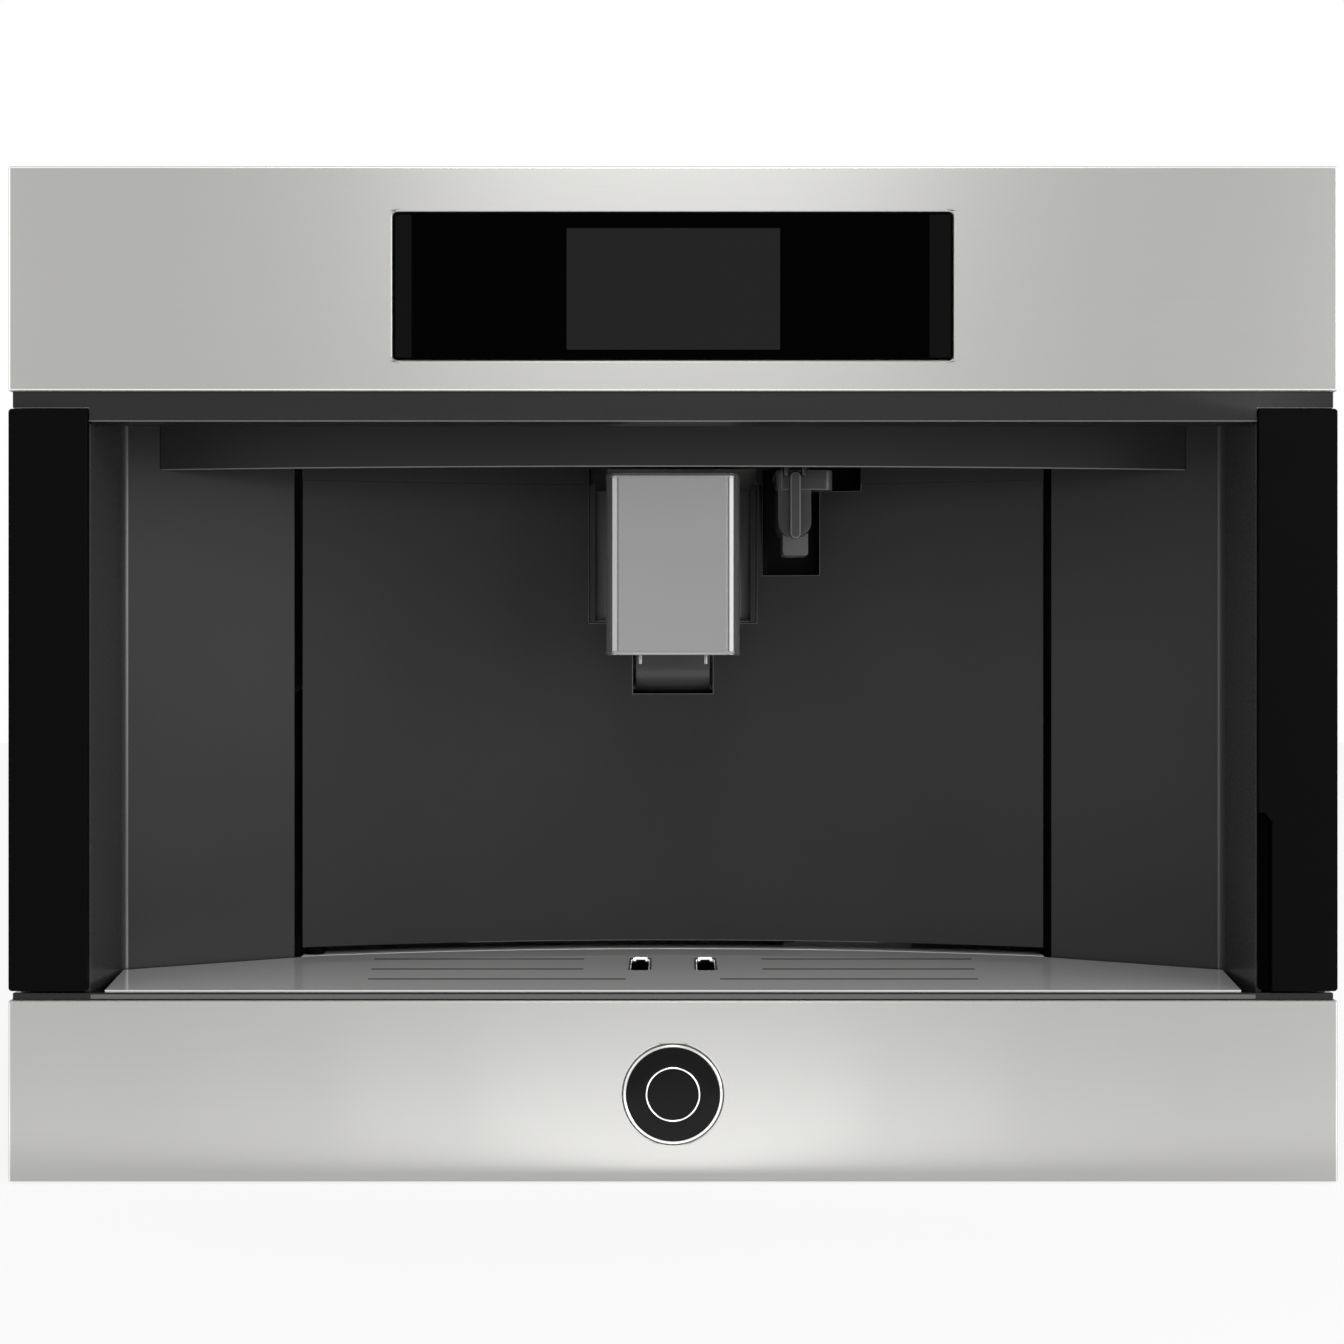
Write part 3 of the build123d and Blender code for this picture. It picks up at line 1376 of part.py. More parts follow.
with BuildPart() as power_board:
    slab(
        -inner_half + board_stand, board_face_x, board_front_d, board_back_d,
        board_base_z, board_top_z,
    )
    for corner_d in (board_front_d + board_corner, board_back_d - board_corner):
        for corner_z in (board_base_z + board_corner, board_top_z - board_corner):
            cross_rod(-inner_half, -inner_half + board_stand, corner_d, corner_z, post_radius)
    slab(
        board_face_x, board_face_x + transformer_thick, block_front_d,
        block_front_d + transformer_size, block_base_z, block_base_z + transformer_size,
    )
    slab(
        board_face_x, board_face_x + relay_thick, block_back_d - relay_size, block_back_d,
        block_base_z, block_base_z + relay_size,
    )
    slab(
        board_face_x, board_face_x + connector_rise, block_front_d, block_back_d,
        row_top_z - connector_row, row_top_z,
    )
    for step in (1, 2):
        cross_rod(
            board_face_x, board_face_x + capacitor_height, board_front_d + step * capacitor_pitch,
            capacitor_z, capacitor_radius,
        )
save(power_board, "power_board")

# ---------------------------------------------------------------- pull-out rails
rail_outside = 4.0          # rail's outer side past the casing's side
rail_mouth_in = 8.0         # edge of the rail's mouth in from the casing's side
rail_foot_in = 22.0         # inner edge of the rail's foot, in the same way
mouth_lip = 1.6
mouth_hook = 3.2            # hooks of the outer rail reach down from its top
tie_depth = 30.0            # cross tie at the back, between the rails' feet
rail_start = frame_back + rail_front_gap
rail_outer_x = casing_half + rail_outside
rail_mouth_x = casing_half - rail_mouth_in
rail_foot_x = casing_half - rail_foot_in
rail_screw_x = rail_foot_x + rail_screw_in
with BuildPart() as cabinet_rails:
    for side, word in sides:
        slab(
            side * (rail_outer_x - rail_sheet), side * rail_outer_x, rail_start, rails_end,
            0, rail_height,
        )
        slab(side * rail_foot_x, side * rail_outer_x, rail_start, rails_end, 0, rail_sheet)
        slab(
            side * rail_mouth_x, side * rail_outer_x, rail_start, rails_end,
            rail_height - rail_sheet, rail_height,
        )
        slab(
            side * rail_mouth_x, side * (rail_mouth_x + mouth_lip), rail_start, rails_end,
            rail_height - rail_sheet - mouth_hook, rail_height,
        )
        for hole_d in (rail_start + rail_screw_front, rail_start + rail_screw_front + rail_screw_span):
            rod(side * rail_screw_x, hole_d, 0, rail_sheet, rail_screw_radius, mode=Mode.SUBTRACT)
    slab(-rail_foot_x, rail_foot_x, rails_end - tie_depth, rails_end, 0, rail_sheet)
save(cabinet_rails, "cabinet_rails")

middle_out_x = rail_outer_x - rail_sheet - fit
middle_in_x = rail_mouth_x + mouth_lip + fit
middle_low_z = rail_sheet + fit
middle_high_z = rail_height - rail_sheet - fit
with BuildPart() as middle_rails:
    for side, word in sides:
        slab(
            side * middle_in_x, side * middle_out_x, rail_start, rails_end,
            middle_low_z, middle_high_z,
        )
        slab(
            side * (middle_in_x + mouth_lip), side * (middle_out_x - rail_sheet), rail_start, rails_end,
            middle_low_z + rail_sheet, middle_high_z - rail_sheet, mode=Mode.SUBTRACT,
        )
        slab(
            side * middle_in_x, side * (middle_in_x + mouth_lip), rail_start, rails_end,
            middle_low_z + 2 * rail_sheet, middle_high_z - 2 * rail_sheet, mode=Mode.SUBTRACT,
        )
save(middle_rails, "middle_rails")

pad_low_z = 12.0
pad_high_z = 35.0
with BuildPart() as inner_rails:
    for side, word in sides:
        slab(
            side * (middle_in_x + mouth_lip + fit), side * (middle_out_x - rail_sheet - fit),
            rail_start, rails_end - panel_return, middle_low_z + rail_sheet + fit,
            middle_high_z - rail_sheet - fit,
        )
        slab(
            side * casing_base_half, side * (middle_in_x + mouth_lip + fit), rail_start,
            rails_end - panel_return, pad_low_z, pad_high_z,
        )
save(inner_rails, "inner_rails")
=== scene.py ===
import json
import math

import bmesh
import bpy
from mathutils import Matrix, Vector


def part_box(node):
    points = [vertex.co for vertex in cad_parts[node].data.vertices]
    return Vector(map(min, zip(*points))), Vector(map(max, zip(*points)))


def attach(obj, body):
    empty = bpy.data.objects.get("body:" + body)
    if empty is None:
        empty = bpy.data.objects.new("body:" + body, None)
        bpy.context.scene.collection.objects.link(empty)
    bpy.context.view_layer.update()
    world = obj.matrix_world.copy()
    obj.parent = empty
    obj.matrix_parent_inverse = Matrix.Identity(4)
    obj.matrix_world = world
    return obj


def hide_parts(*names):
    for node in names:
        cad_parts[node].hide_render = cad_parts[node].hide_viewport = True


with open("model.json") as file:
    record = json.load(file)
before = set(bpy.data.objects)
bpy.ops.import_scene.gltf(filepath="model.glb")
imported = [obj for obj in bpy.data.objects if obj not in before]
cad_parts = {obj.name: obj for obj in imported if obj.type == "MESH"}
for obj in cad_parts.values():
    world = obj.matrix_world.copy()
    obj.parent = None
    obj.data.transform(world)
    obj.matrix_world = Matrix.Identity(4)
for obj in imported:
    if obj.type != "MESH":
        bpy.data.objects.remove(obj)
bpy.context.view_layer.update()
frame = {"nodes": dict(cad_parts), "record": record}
nodes = frame["nodes"]
body_of = {n: b for b, names in frame["record"]["behaviour"]["bodies"].items() for n in names}
slot_of = {s["node"]: s["material_slot"] for s in frame["record"]["subparts"]}
MM = 0.001
FRONT_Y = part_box("upper_fascia")[0].y       # the front face of the steel panels
SIDES = ((-1, "left"), (1, "right"))


def spot(x, d, z):
    """Point in metres from millimetres; a depth d counts from the front face."""
    return (x * MM, FRONT_Y + d * MM, z * MM)


def depth_of(point):
    """How far a point lies behind the front face, in millimetres."""
    return (point.y - FRONT_Y) / MM


def limits(node):
    """Lowest and highest x, depth and z of a CAD node, in millimetres."""
    low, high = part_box(node)
    return [
        (low.x / MM, high.x / MM),
        (depth_of(low), depth_of(high)),
        (low.z / MM, high.z / MM),
    ]


# ---------------------------------------------------------------- camera and light
CAMERA_X, CAMERA_Z = -0.00045, 0.2286       # nearly level with the front's middle
CAMERA_DISTANCE = 1.0                       # in front of the steel panels
SENSOR_WIDTH, FOCAL_LENGTH = 36.0, 59.87

scene = bpy.context.scene
scene.view_settings.view_transform = "Standard"
camera = bpy.data.objects.new("camera", bpy.data.cameras.new("camera"))
scene.collection.objects.link(camera)
camera.data.sensor_fit = "HORIZONTAL"
camera.data.sensor_width = SENSOR_WIDTH
camera.data.lens = FOCAL_LENGTH
camera.location = (CAMERA_X, FRONT_Y - CAMERA_DISTANCE, CAMERA_Z)
camera.rotation_euler = (math.pi / 2, 0, 0)
scene.camera = camera


def add_light(name, location, target, size, size_y, power, shape="RECTANGLE"):
    """Soft studio light, which the camera itself doesn't see."""
    data = bpy.data.lights.new(name, "AREA")
    data.shape = shape
    data.size = size
    data.size_y = size_y
    data.energy = power
    lamp = bpy.data.objects.new(name, data)
    scene.collection.objects.link(lamp)
    lamp.location = location
    lamp.visible_camera = False
    aim = Vector(target) - Vector(location)
    lamp.rotation_euler = aim.to_track_quat("-Z", "Y").to_euler()


BAY = (0, -0.1, 0.25)                       # what the boxes are turned to
for lamp in (                               # name, place, target, width, height, power
    ("front_key", (0, -2.1, 1.7), (0, -0.2, 0.25), 0.72, 0.9, 9),
    ("right_box", (1.45, -1.9, 0.6), BAY, 0.9, 1.3, 9),
    ("right_side", (2.27, -0.93, 0.6), BAY, 1.5, 1.1, 19),
    ("left_box", (-1.45, -1.9, 0.6), BAY, 0.8, 1.3, 4),
):
    add_light(*lamp)
# nested cards on the floor, which light the lower panel softly from below
CARD_PLACE, CARD_TARGET, CARD_DEPTH = (0, -0.315, 0.004), (0, -0.315, 1.0), 0.2
for card_width, card_power in ((0.2, 0.13), (0.34, 0.16), (0.5, 0.15), (0.9, 0.2)):
    add_light("low_card_%d" % (card_width * 100), CARD_PLACE, CARD_TARGET, card_width, CARD_DEPTH,
              card_power, "ELLIPSE")


# ---------------------------------------------------------------- materials
class Nodes:
    """A material and its node tree, which starts with an output node."""

    def __init__(self, name):
        self.material = bpy.data.materials.new(name)
        self.material.use_nodes = True
        self.tree = self.material.node_tree
        self.tree.nodes.clear()
        self.out = self.add("ShaderNodeOutputMaterial")

    def add(self, kind, **values):
        node = self.tree.nodes.new(kind)
        for key, value in values.items():
            setattr(node, key, value)
        return node

    def link(self, source, target):
        self.tree.links.new(source, target)


EVEN = (1, 1, 1)                            # no stretch
NOISE_LOW, NOISE_HIGH = 0.3, 0.7            # range in which most of the noise lies
MIX_FACTOR, MIX_FIRST, MIX_SECOND, MIX_RESULT = 0, 6, 7, 2   # the Mix node's colour sockets
SPANGLE_CELLS = 130.0                       # zinc crystals of about 8 mm
BROAD_SCALE = 9.0                           # tone that varies over about 100 mm
RADIAL_TURN = 0.25                          # turns the brushing's highlight upright


def detail(n, scale, stretch, low, high, octaves=4.0):
    """Noise in object space, stretched along the axes, as it is and mapped to a range."""
    coord = n.add("ShaderNodeTexCoord")
    mapping = n.add("ShaderNodeMapping")
    mapping.inputs["Scale"].default_value = stretch
    n.link(coord.outputs["Object"], mapping.inputs["Vector"])
    noise = n.add("ShaderNodeTexNoise")
    noise.inputs["Scale"].default_value = scale
    noise.inputs["Detail"].default_value = octaves
    n.link(mapping.outputs["Vector"], noise.inputs["Vector"])
    ramp = n.add("ShaderNodeMapRange")
    ramp.inputs["From Min"].default_value = NOISE_LOW
    ramp.inputs["From Max"].default_value = NOISE_HIGH
    ramp.inputs["To Min"].default_value = low
    ramp.inputs["To Max"].default_value = high
    n.link(noise.outputs["Fac"], ramp.inputs["Value"])
    return noise.outputs["Fac"], ramp.outputs["Result"]


def spangles(n, amount):
    """Tone that differs from one zinc crystal to the next."""
    coord = n.add("ShaderNodeTexCoord")
    cells = n.add("ShaderNodeTexVoronoi")
    cells.inputs["Scale"].default_value = SPANGLE_CELLS
    n.link(coord.outputs["Object"], cells.inputs["Vector"])
    grey = n.add("ShaderNodeRGBToBW")
    n.link(cells.outputs["Color"], grey.inputs["Color"])
    tone = n.add("ShaderNodeMapRange")
    tone.inputs["To Min"].default_value = 1 - amount
    tone.inputs["To Max"].default_value = 1 + amount
    n.link(grey.outputs["Val"], tone.inputs["Value"])
    return tone.outputs["Result"]


def multiplied(n, colour, factor):
    """Product of a plain or linked colour and a linked factor."""
    product = n.add("ShaderNodeMix", data_type="RGBA", blend_type="MULTIPLY")
    product.inputs[MIX_FACTOR].default_value = 1.0
    if isinstance(colour, tuple):
        product.inputs[MIX_FIRST].default_value = colour
    else:
        n.link(colour, product.inputs[MIX_FIRST])
    n.link(factor, product.inputs[MIX_SECOND])
    return product.outputs[MIX_RESULT]


looks = {}                                  # materials by name


def surface(name, colour, rough, metallic=0.0, grain=900.0, stretch=EVEN, spread=0.06,
            bump=0.15, bump_height=0.00002, specular=0.5, anisotropy=0.0, alpha=1.0,
            colour_spread=0.08, streak=0.0, spangle=0.0):
    """Adds a look whose colour and roughness vary with a fine grain and a broad one."""
    n = Nodes(name)
    shader = n.add("ShaderNodeBsdfPrincipled")
    shader.inputs["Metallic"].default_value = metallic
    shader.inputs["Specular IOR Level"].default_value = specular
    shader.inputs["Anisotropic"].default_value = anisotropy
    shader.inputs["Alpha"].default_value = alpha
    fine, rough_value = detail(n, grain, stretch, rough - spread, rough + spread)
    _, tone = detail(n, BROAD_SCALE, EVEN, 1 - colour_spread, 1 + colour_spread, octaves=2.0)
    n.link(rough_value, shader.inputs["Roughness"])
    tinted = multiplied(n, (*colour, 1), tone)
    if streak:
        _, brushing = detail(n, grain, stretch, 1 - streak, 1 + streak, octaves=6.0)
        tinted = multiplied(n, tinted, brushing)
    if spangle:
        tinted = multiplied(n, tinted, spangles(n, spangle))
    n.link(tinted, shader.inputs["Base Color"])
    relief = n.add("ShaderNodeBump")
    relief.inputs["Strength"].default_value = bump
    relief.inputs["Distance"].default_value = bump_height
    n.link(fine, relief.inputs["Height"])
    n.link(relief.outputs["Normal"], shader.inputs["Normal"])
    if anisotropy:
        shader.inputs["Anisotropic Rotation"].default_value = RADIAL_TURN
        tangent = n.add("ShaderNodeTangent", direction_type="RADIAL", axis="Z")
        n.link(tangent.outputs["Tangent"], shader.inputs["Tangent"])
    n.link(shader.outputs["BSDF"], n.out.inputs["Surface"])
    looks[name] = n.material


BRUSHED = (0.5, 44, 44)                     # stretches the grain along x
DRAWN = (4, 0.4, 4)                         # and along y, for the rails
surface("steel", (0.44, 0.437, 0.428), 0.3, metallic=1.0, grain=60,
        stretch=BRUSHED, spread=0.012, bump=0.012, anisotropy=0.8,
        colour_spread=0.01, streak=0.012)
surface("black_gloss", (0.0004, 0.0004, 0.00042), 0.1, grain=40, spread=0.02,
        bump=0.02, specular=0.008, colour_spread=0.1)
surface("bar_black", (0.0018, 0.0018, 0.00185), 0.4, grain=1800, spread=0.05,
        bump=0.12, specular=0.03, colour_spread=0.1)
surface("screen", (0.0115, 0.0115, 0.0115), 0.2, grain=1200, spread=0.03, bump=0.02,
        specular=0.05, colour_spread=0.03)
surface("glass_end", (0.0042, 0.0043, 0.0043), 0.12, grain=40, spread=0.02,
        bump=0.02, specular=0.02)
surface("frame_plastic", (0.008, 0.008, 0.0082), 0.3, grain=2600, bump=0.12,
        specular=0.3, anisotropy=0.7)
surface("bay_plastic", (0.031, 0.031, 0.0315), 0.26, grain=3600, bump=0.03,
        specular=0.1, colour_spread=0.05)
surface("bay_corner", (0.03, 0.03, 0.0305), 0.32, grain=3600, bump=0.02,
        specular=0.9, colour_spread=0.05)
# lighter grey for rounded edges of dark plastic that face forward and down: a painted highlight
surface("dark_plastic_painted_highlight", (0.17, 0.17, 0.17), 0.32, grain=2600, bump=0.03,
        specular=0.4, colour_spread=0.05)
# near-white metal for rounded edges of the steel panels and the drain lips: a painted highlight
surface("metal_painted_highlight", (0.95, 0.95, 0.94), 0.2, metallic=1.0, grain=400,
        spread=0.03, bump=0.02, colour_spread=0.02)
surface("scoop_plastic", (0.06, 0.06, 0.061), 0.3, grain=2600, bump=0.08,
        specular=0.25, colour_spread=0.05)
surface("shroud_plastic", (0.032, 0.032, 0.0324), 0.4, grain=2600,
        bump=0.1, specular=0.09, colour_spread=0.05)
# black for black plastic parts, and painted shade for the cup plate's slots, the louvre openings and
# the guide's flange
surface("black_and_painted_shade", (0.0025, 0.0025, 0.0026), 0.4, grain=1800, bump=0.2,
        specular=0.04)
# lighter grey for the spout guide's channel: painted light that lifts the shade it lies in
surface("guide_plastic_painted_lighter", (0.085, 0.085, 0.0855), 0.4, grain=2600, bump=0.1,
        specular=0.25, colour_spread=0.05)
surface("trim_grey", (0.11, 0.11, 0.109), 0.3, metallic=0.6, grain=60,
        stretch=BRUSHED, spread=0.02, bump=0.012, colour_spread=0.03)
surface("spout_metal", (0.3, 0.3, 0.303), 0.24, metallic=0.75, grain=1500,
        spread=0.015, bump=0.012, colour_spread=0.03)
surface("outlet_grey", (0.03, 0.03, 0.0305), 0.36, grain=2200, bump=0.2,
        specular=0.4)
# lighter grey for the outlet's rounded front edges: a painted highlight
surface("outlet_painted_highlight", (0.085, 0.085, 0.086), 0.3, grain=2200, bump=0.05,
        specular=0.5)
surface("outlet_tip", (0.06, 0.06, 0.061), 0.34, grain=2200, bump=0.2,
        specular=0.5)
surface("tray_plate", (0.9, 0.9, 0.89), 0.07, metallic=0.38, grain=60,
        stretch=BRUSHED, spread=0.015, bump=0.012, specular=0.3,
        colour_spread=0.02, streak=0.012)
surface("tray_black", (0.012, 0.012, 0.0125), 0.4, grain=1800, bump=0.25,
        specular=0.3)
surface("badge_black", (0.004, 0.004, 0.0042), 0.22, grain=60, spread=0.03,
        bump=0.03, specular=0.08)
surface("bright_metal", (0.72, 0.72, 0.715), 0.16, metallic=1.0, grain=400,
        spread=0.03, bump=0.03)
surface("zinc_sheet", (0.42, 0.43, 0.44), 0.42, metallic=0.9, grain=500,
        spread=0.03, bump=0.02, colour_spread=0.02, spangle=0.1)
surface("rail_steel", (0.4, 0.41, 0.42), 0.32, metallic=0.9, grain=140,
        stretch=DRAWN, spread=0.07, bump=0.08)
surface("inner_plastic", (0.03, 0.03, 0.031), 0.45, grain=2000, bump=0.3,
        specular=0.35)
surface("white_plastic", (0.6, 0.6, 0.58), 0.42, grain=2000, bump=0.2)
surface("tank_clear", (0.28, 0.33, 0.36), 0.12, grain=50, spread=0.03,
        bump=0.02, alpha=0.42)
surface("board_green", (0.02, 0.11, 0.05), 0.42, grain=500, bump=0.2)
surface("cast_aluminium", (0.5, 0.5, 0.5), 0.5, metallic=0.95, grain=900,
        spread=0.1, bump=0.5, bump_height=0.0001)
surface("brass_part", (0.55, 0.4, 0.17), 0.35, metallic=0.9, grain=300)
surface("lamp_lens", (0.7, 0.7, 0.68), 0.3, grain=800)
surface("dark_metal", (0.0015, 0.0015, 0.0016), 0.5, grain=1500,
        specular=0.02)

# ---------------------------------------------------------------- floor and surroundings
WHITE = (1, 1, 1, 1)
WORLD_LIGHT = (0.8, 0.8, 0.8, 1)
FLOOR_SIZE, FLOOR_DROP = 6.0, 0.0005        # half its width, and how far it lies under the feet
FLOOR_GRAIN, FLOOR_TONE = 3.0, (0.84, 0.86)
FLOOR_GLOW = 0.8                            # share of white; the rest keeps the shadow


def seen_by(tree, rays):
    """Socket that is 1 for the given kinds of ray and 0 for the others."""
    path = tree.nodes.new("ShaderNodeLightPath")
    seen = path.outputs[rays[0]]
    for ray in rays[1:]:
        either = tree.nodes.new("ShaderNodeMath")
        either.operation = "MAXIMUM"
        tree.links.new(seen, either.inputs[0])
        tree.links.new(path.outputs[ray], either.inputs[1])
        seen = either.outputs[0]
    return seen


world = bpy.data.worlds.new("studio")
scene.world = world
world.use_nodes = True
tree = world.node_tree
tree.nodes.clear()
out = tree.nodes.new("ShaderNodeOutputWorld")
light = tree.nodes.new("ShaderNodeBackground")
light.inputs["Color"].default_value = WORLD_LIGHT
white = tree.nodes.new("ShaderNodeBackground")
white.inputs["Color"].default_value = WHITE
mix = tree.nodes.new("ShaderNodeMixShader")
tree.links.new(
    seen_by(tree, ("Is Camera Ray", "Is Glossy Ray", "Is Transmission Ray")), mix.inputs["Fac"],
)
tree.links.new(light.outputs["Background"], mix.inputs[1])
tree.links.new(white.outputs["Background"], mix.inputs[2])
tree.links.new(mix.outputs["Shader"], out.inputs["Surface"])

bm = bmesh.new()
bmesh.ops.create_grid(bm, x_segments=8, y_segments=8, size=FLOOR_SIZE)
mesh = bpy.data.meshes.new("floor")
bm.to_mesh(mesh)
bm.free()
floor = bpy.data.objects.new("floor", mesh)
scene.collection.objects.link(floor)
floor.location = (0, 0, -FLOOR_DROP)
n = Nodes("floor")
base = n.add("ShaderNodeBsdfDiffuse")
_, tone = detail(n, FLOOR_GRAIN, EVEN, *FLOOR_TONE)
n.link(tone, base.inputs["Color"])
glow = n.add("ShaderNodeEmission")
glow.inputs["Color"].default_value = WHITE
share = n.add("ShaderNodeMath", operation="MULTIPLY")
share.inputs[1].default_value = FLOOR_GLOW
n.link(seen_by(n.tree, ("Is Camera Ray", "Is Glossy Ray")), share.inputs[0])
blend = n.add("ShaderNodeMixShader")
n.link(share.outputs[0], blend.inputs["Fac"])
n.link(base.outputs["BSDF"], blend.inputs[1])
n.link(glow.outputs["Emission"], blend.inputs[2])
n.link(blend.outputs["Shader"], n.out.inputs["Surface"])
floor.data.materials.append(n.material)


# ---------------------------------------------------------------- how pieces are made
SMOOTH_ANGLE = 35.0                         # edges up to this many degrees are shaded smooth
BEVEL_ANGLE = 30.0                          # edges from this many degrees are rounded
WELD = 0.000002                             # metres between points that are one


def finish_mesh(name, bm, body, slot, look=None, angle=SMOOTH_ANGLE):
    """Makes a piece of a bmesh, shades it smooth up to an angle and rides it on a body."""
    mesh = bpy.data.meshes.new(name)
    bm.to_mesh(mesh)
    bm.free()
    for polygon in mesh.polygons:
        polygon.use_smooth = True
    mesh.set_sharp_from_angle(angle=math.radians(angle))
    piece = bpy.data.objects.new(name, mesh)
    scene.collection.objects.link(piece)
    mesh.materials.append(looks[look or slot])
    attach(piece, body)
    return piece


def rounded_edges(piece, width, segments=2, limit=BEVEL_ANGLE, weighted=False):
    """Rounds the piece's edges and keeps what the modifier makes of its mesh."""
    rounding = piece.modifiers.new("rounding", "BEVEL")
    rounding.width = width * MM
    rounding.segments = segments
    rounding.limit_method = "WEIGHT" if weighted else "ANGLE"
    rounding.angle_limit = math.radians(limit)
    rounding.harden_normals = True
    rounding.use_clamp_overlap = False
    bpy.context.view_layer.update()
    graph = bpy.context.evaluated_depsgraph_get()
    mesh = bpy.data.meshes.new_from_object(
        piece.evaluated_get(graph), preserve_all_data_layers=True, depsgraph=graph,
    )
    piece.modifiers.clear()
    piece.data = mesh
    return piece


def cad_copy(node):
    """The CAD node's mesh as a bmesh with its flat faces joined up."""
    bm = bmesh.new()
    bm.from_mesh(nodes[node].data)
    bmesh.ops.remove_doubles(bm, verts=bm.verts, dist=WELD)
    bmesh.ops.join_triangles(
        bm, faces=bm.faces, angle_face_threshold=math.radians(0.5),
        angle_shape_threshold=math.pi, topology_influence=0.0, deselect_joined=False,
    )
    return bm


def bevelled(node, width, segments=2, skip=None, look=None):
    """A copy of a CAD node with rounded edges, but for those to skip; it stands for the node."""
    bm = cad_copy(node)
    if skip:
        weight = bm.edges.layers.float.new("bevel_weight_edge")
        for edge in bm.edges:
            middle = (edge.verts[0].co + edge.verts[1].co) / 2
            sharp = edge.is_manifold and edge.calc_face_angle() > math.radians(BEVEL_ANGLE)
            if sharp and not skip(middle):
                edge[weight] = 1.0
    piece = finish_mesh(node + "_piece", bm, body_of[node], slot_of[node], look)
    rounded_edges(piece, width, segments, weighted=bool(skip))
    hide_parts(node)
    return piece


def recolour(piece, look, test):
    """Gives the faces that pass the test a second look."""
    piece.data.materials.append(looks[look])
    for polygon in piece.data.polygons:
        if test(polygon):
            polygon.material_index = len(piece.data.materials) - 1


def front_edge(face):
    """Whether a face is part of a rounded edge that is seen from the front."""
    return -0.97 < face.normal.y < -0.2


def extruded(name, outline, axis, low, high, body, slot, width=0.0, segments=2, look=None,
             stands_for=()):
    """Piece made of an outline drawn out along an axis.

    The outline is of (x, z) along y, of (x, depth) along z and of (depth, z) along x.
    """
    place = {
        "y": lambda u, v, w: spot(u, w, v),
        "z": lambda u, v, w: spot(u, v, w),
        "x": lambda u, v, w: spot(w, u, v),
    }[axis]
    bm = bmesh.new()
    near = [bm.verts.new(place(u, v, low)) for u, v in outline]
    far = [bm.verts.new(place(u, v, high)) for u, v in outline]
    bm.faces.new(near)
    bm.faces.new(far[::-1])
    for i, vert in enumerate(near):
        bm.faces.new((vert, far[i], far[(i + 1) % len(far)], near[(i + 1) % len(near)]))
    bmesh.ops.recalc_face_normals(bm, faces=bm.faces)
    piece = finish_mesh(name, bm, body, slot, look)
    if width:
        rounded_edges(piece, width, segments)
    for node in stands_for:
        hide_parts(node)
    return piece


def add_rings(bm, rings, looped=False):
    """Joins rings of equally many points, with a cap at each end or from the last to the first."""
    made = [[bm.verts.new(point) for point in ring] for ring in rings]
    if looped:
        made.append(made[0])
    for ring, following in zip(made, made[1:]):
        for i, vert in enumerate(ring):
            after = (i + 1) % len(ring)
            bm.faces.new((vert, ring[after], following[after], following[i]))
    if not looped:
        bm.faces.new(made[0][::-1])
        bm.faces.new(made[-1])


def stacked(name, rings, body, slot, look=None, stands_for=()):
    """Piece made of rings, with a cap at each end."""
    bm = bmesh.new()
    add_rings(bm, rings)
    bmesh.ops.recalc_face_normals(bm, faces=bm.faces)
    piece = finish_mesh(name, bm, body, slot, look)
    for node in stands_for:
        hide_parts(node)
    return piece


def turned_rings(x, d, z, axis, profile, count):
    """Rings of a turned piece from (radius, distance along the axis) pairs, in millimetres."""
    rings = []
    for radius, along in profile:
        ring = []
        for step in range(count):
            angle = 2 * math.pi * step / count
            u, v = radius * math.cos(angle), radius * math.sin(angle)
            ring.append({
                "x": spot(x + along, d + u, z + v),
                "y": spot(x + u, d + along, z + v),
                "z": spot(x + u, d + v, z + along),
            }[axis])
        rings.append(ring)
    return rings


def rounded_box(u0, u1, v0, v1, radius, steps=6):
    """Outline of a rectangle with round corners, from the far corner on."""
    points = []
    for cu, cv, start in (
        (u1 - radius, v1 - radius, 0), (u0 + radius, v1 - radius, 90),
        (u0 + radius, v0 + radius, 180), (u1 - radius, v0 + radius, 270),
    ):
        for step in range(steps + 1):
            angle = math.radians(start + 90 * step / steps)
            points.append((cu + radius * math.cos(angle), cv + radius * math.sin(angle)))
    return points


# ---------------------------------------------------------------- steel panels and display
(glass_x0, glass_x1), (glass_d0, glass_d1), (glass_z0, glass_z1) = limits("display_glass")
PANEL_EDGE = 0.9                            # how far the steel panels' edges are rounded
GLASS_RIM = 3.0                             # the opening's own edge lies within this of the glass
BADGE_REACH = 30.0                          # and the badge's recess within this of the middle
SCREEN = (-47.6, 47.9, 372.8, 427.2)        # x and z edges of the screen's window in the glass
END_INSET = 0.9                             # lighter ends of the glass keep off its edges
END_LEFT, END_RIGHT = 8.2, 10.4             # and reach in this far
FLUSH = (-0.04, 0.3)                        # depths of what is seen in the glass


def near_glass(point):
    """Whether a point is at the opening for the display glass."""
    return (
        abs(point.x) < (glass_x1 + GLASS_RIM) * MM
        and (glass_z0 - GLASS_RIM) * MM < point.z < (glass_z1 + GLASS_RIM) * MM
    )


def painted_highlight_rim(face):
    """Whether a face is the part of a panel's rounded edge that faces nearly forward; it gets a
    painted highlight.
    """
    return -0.99 < face.normal.y < -0.8


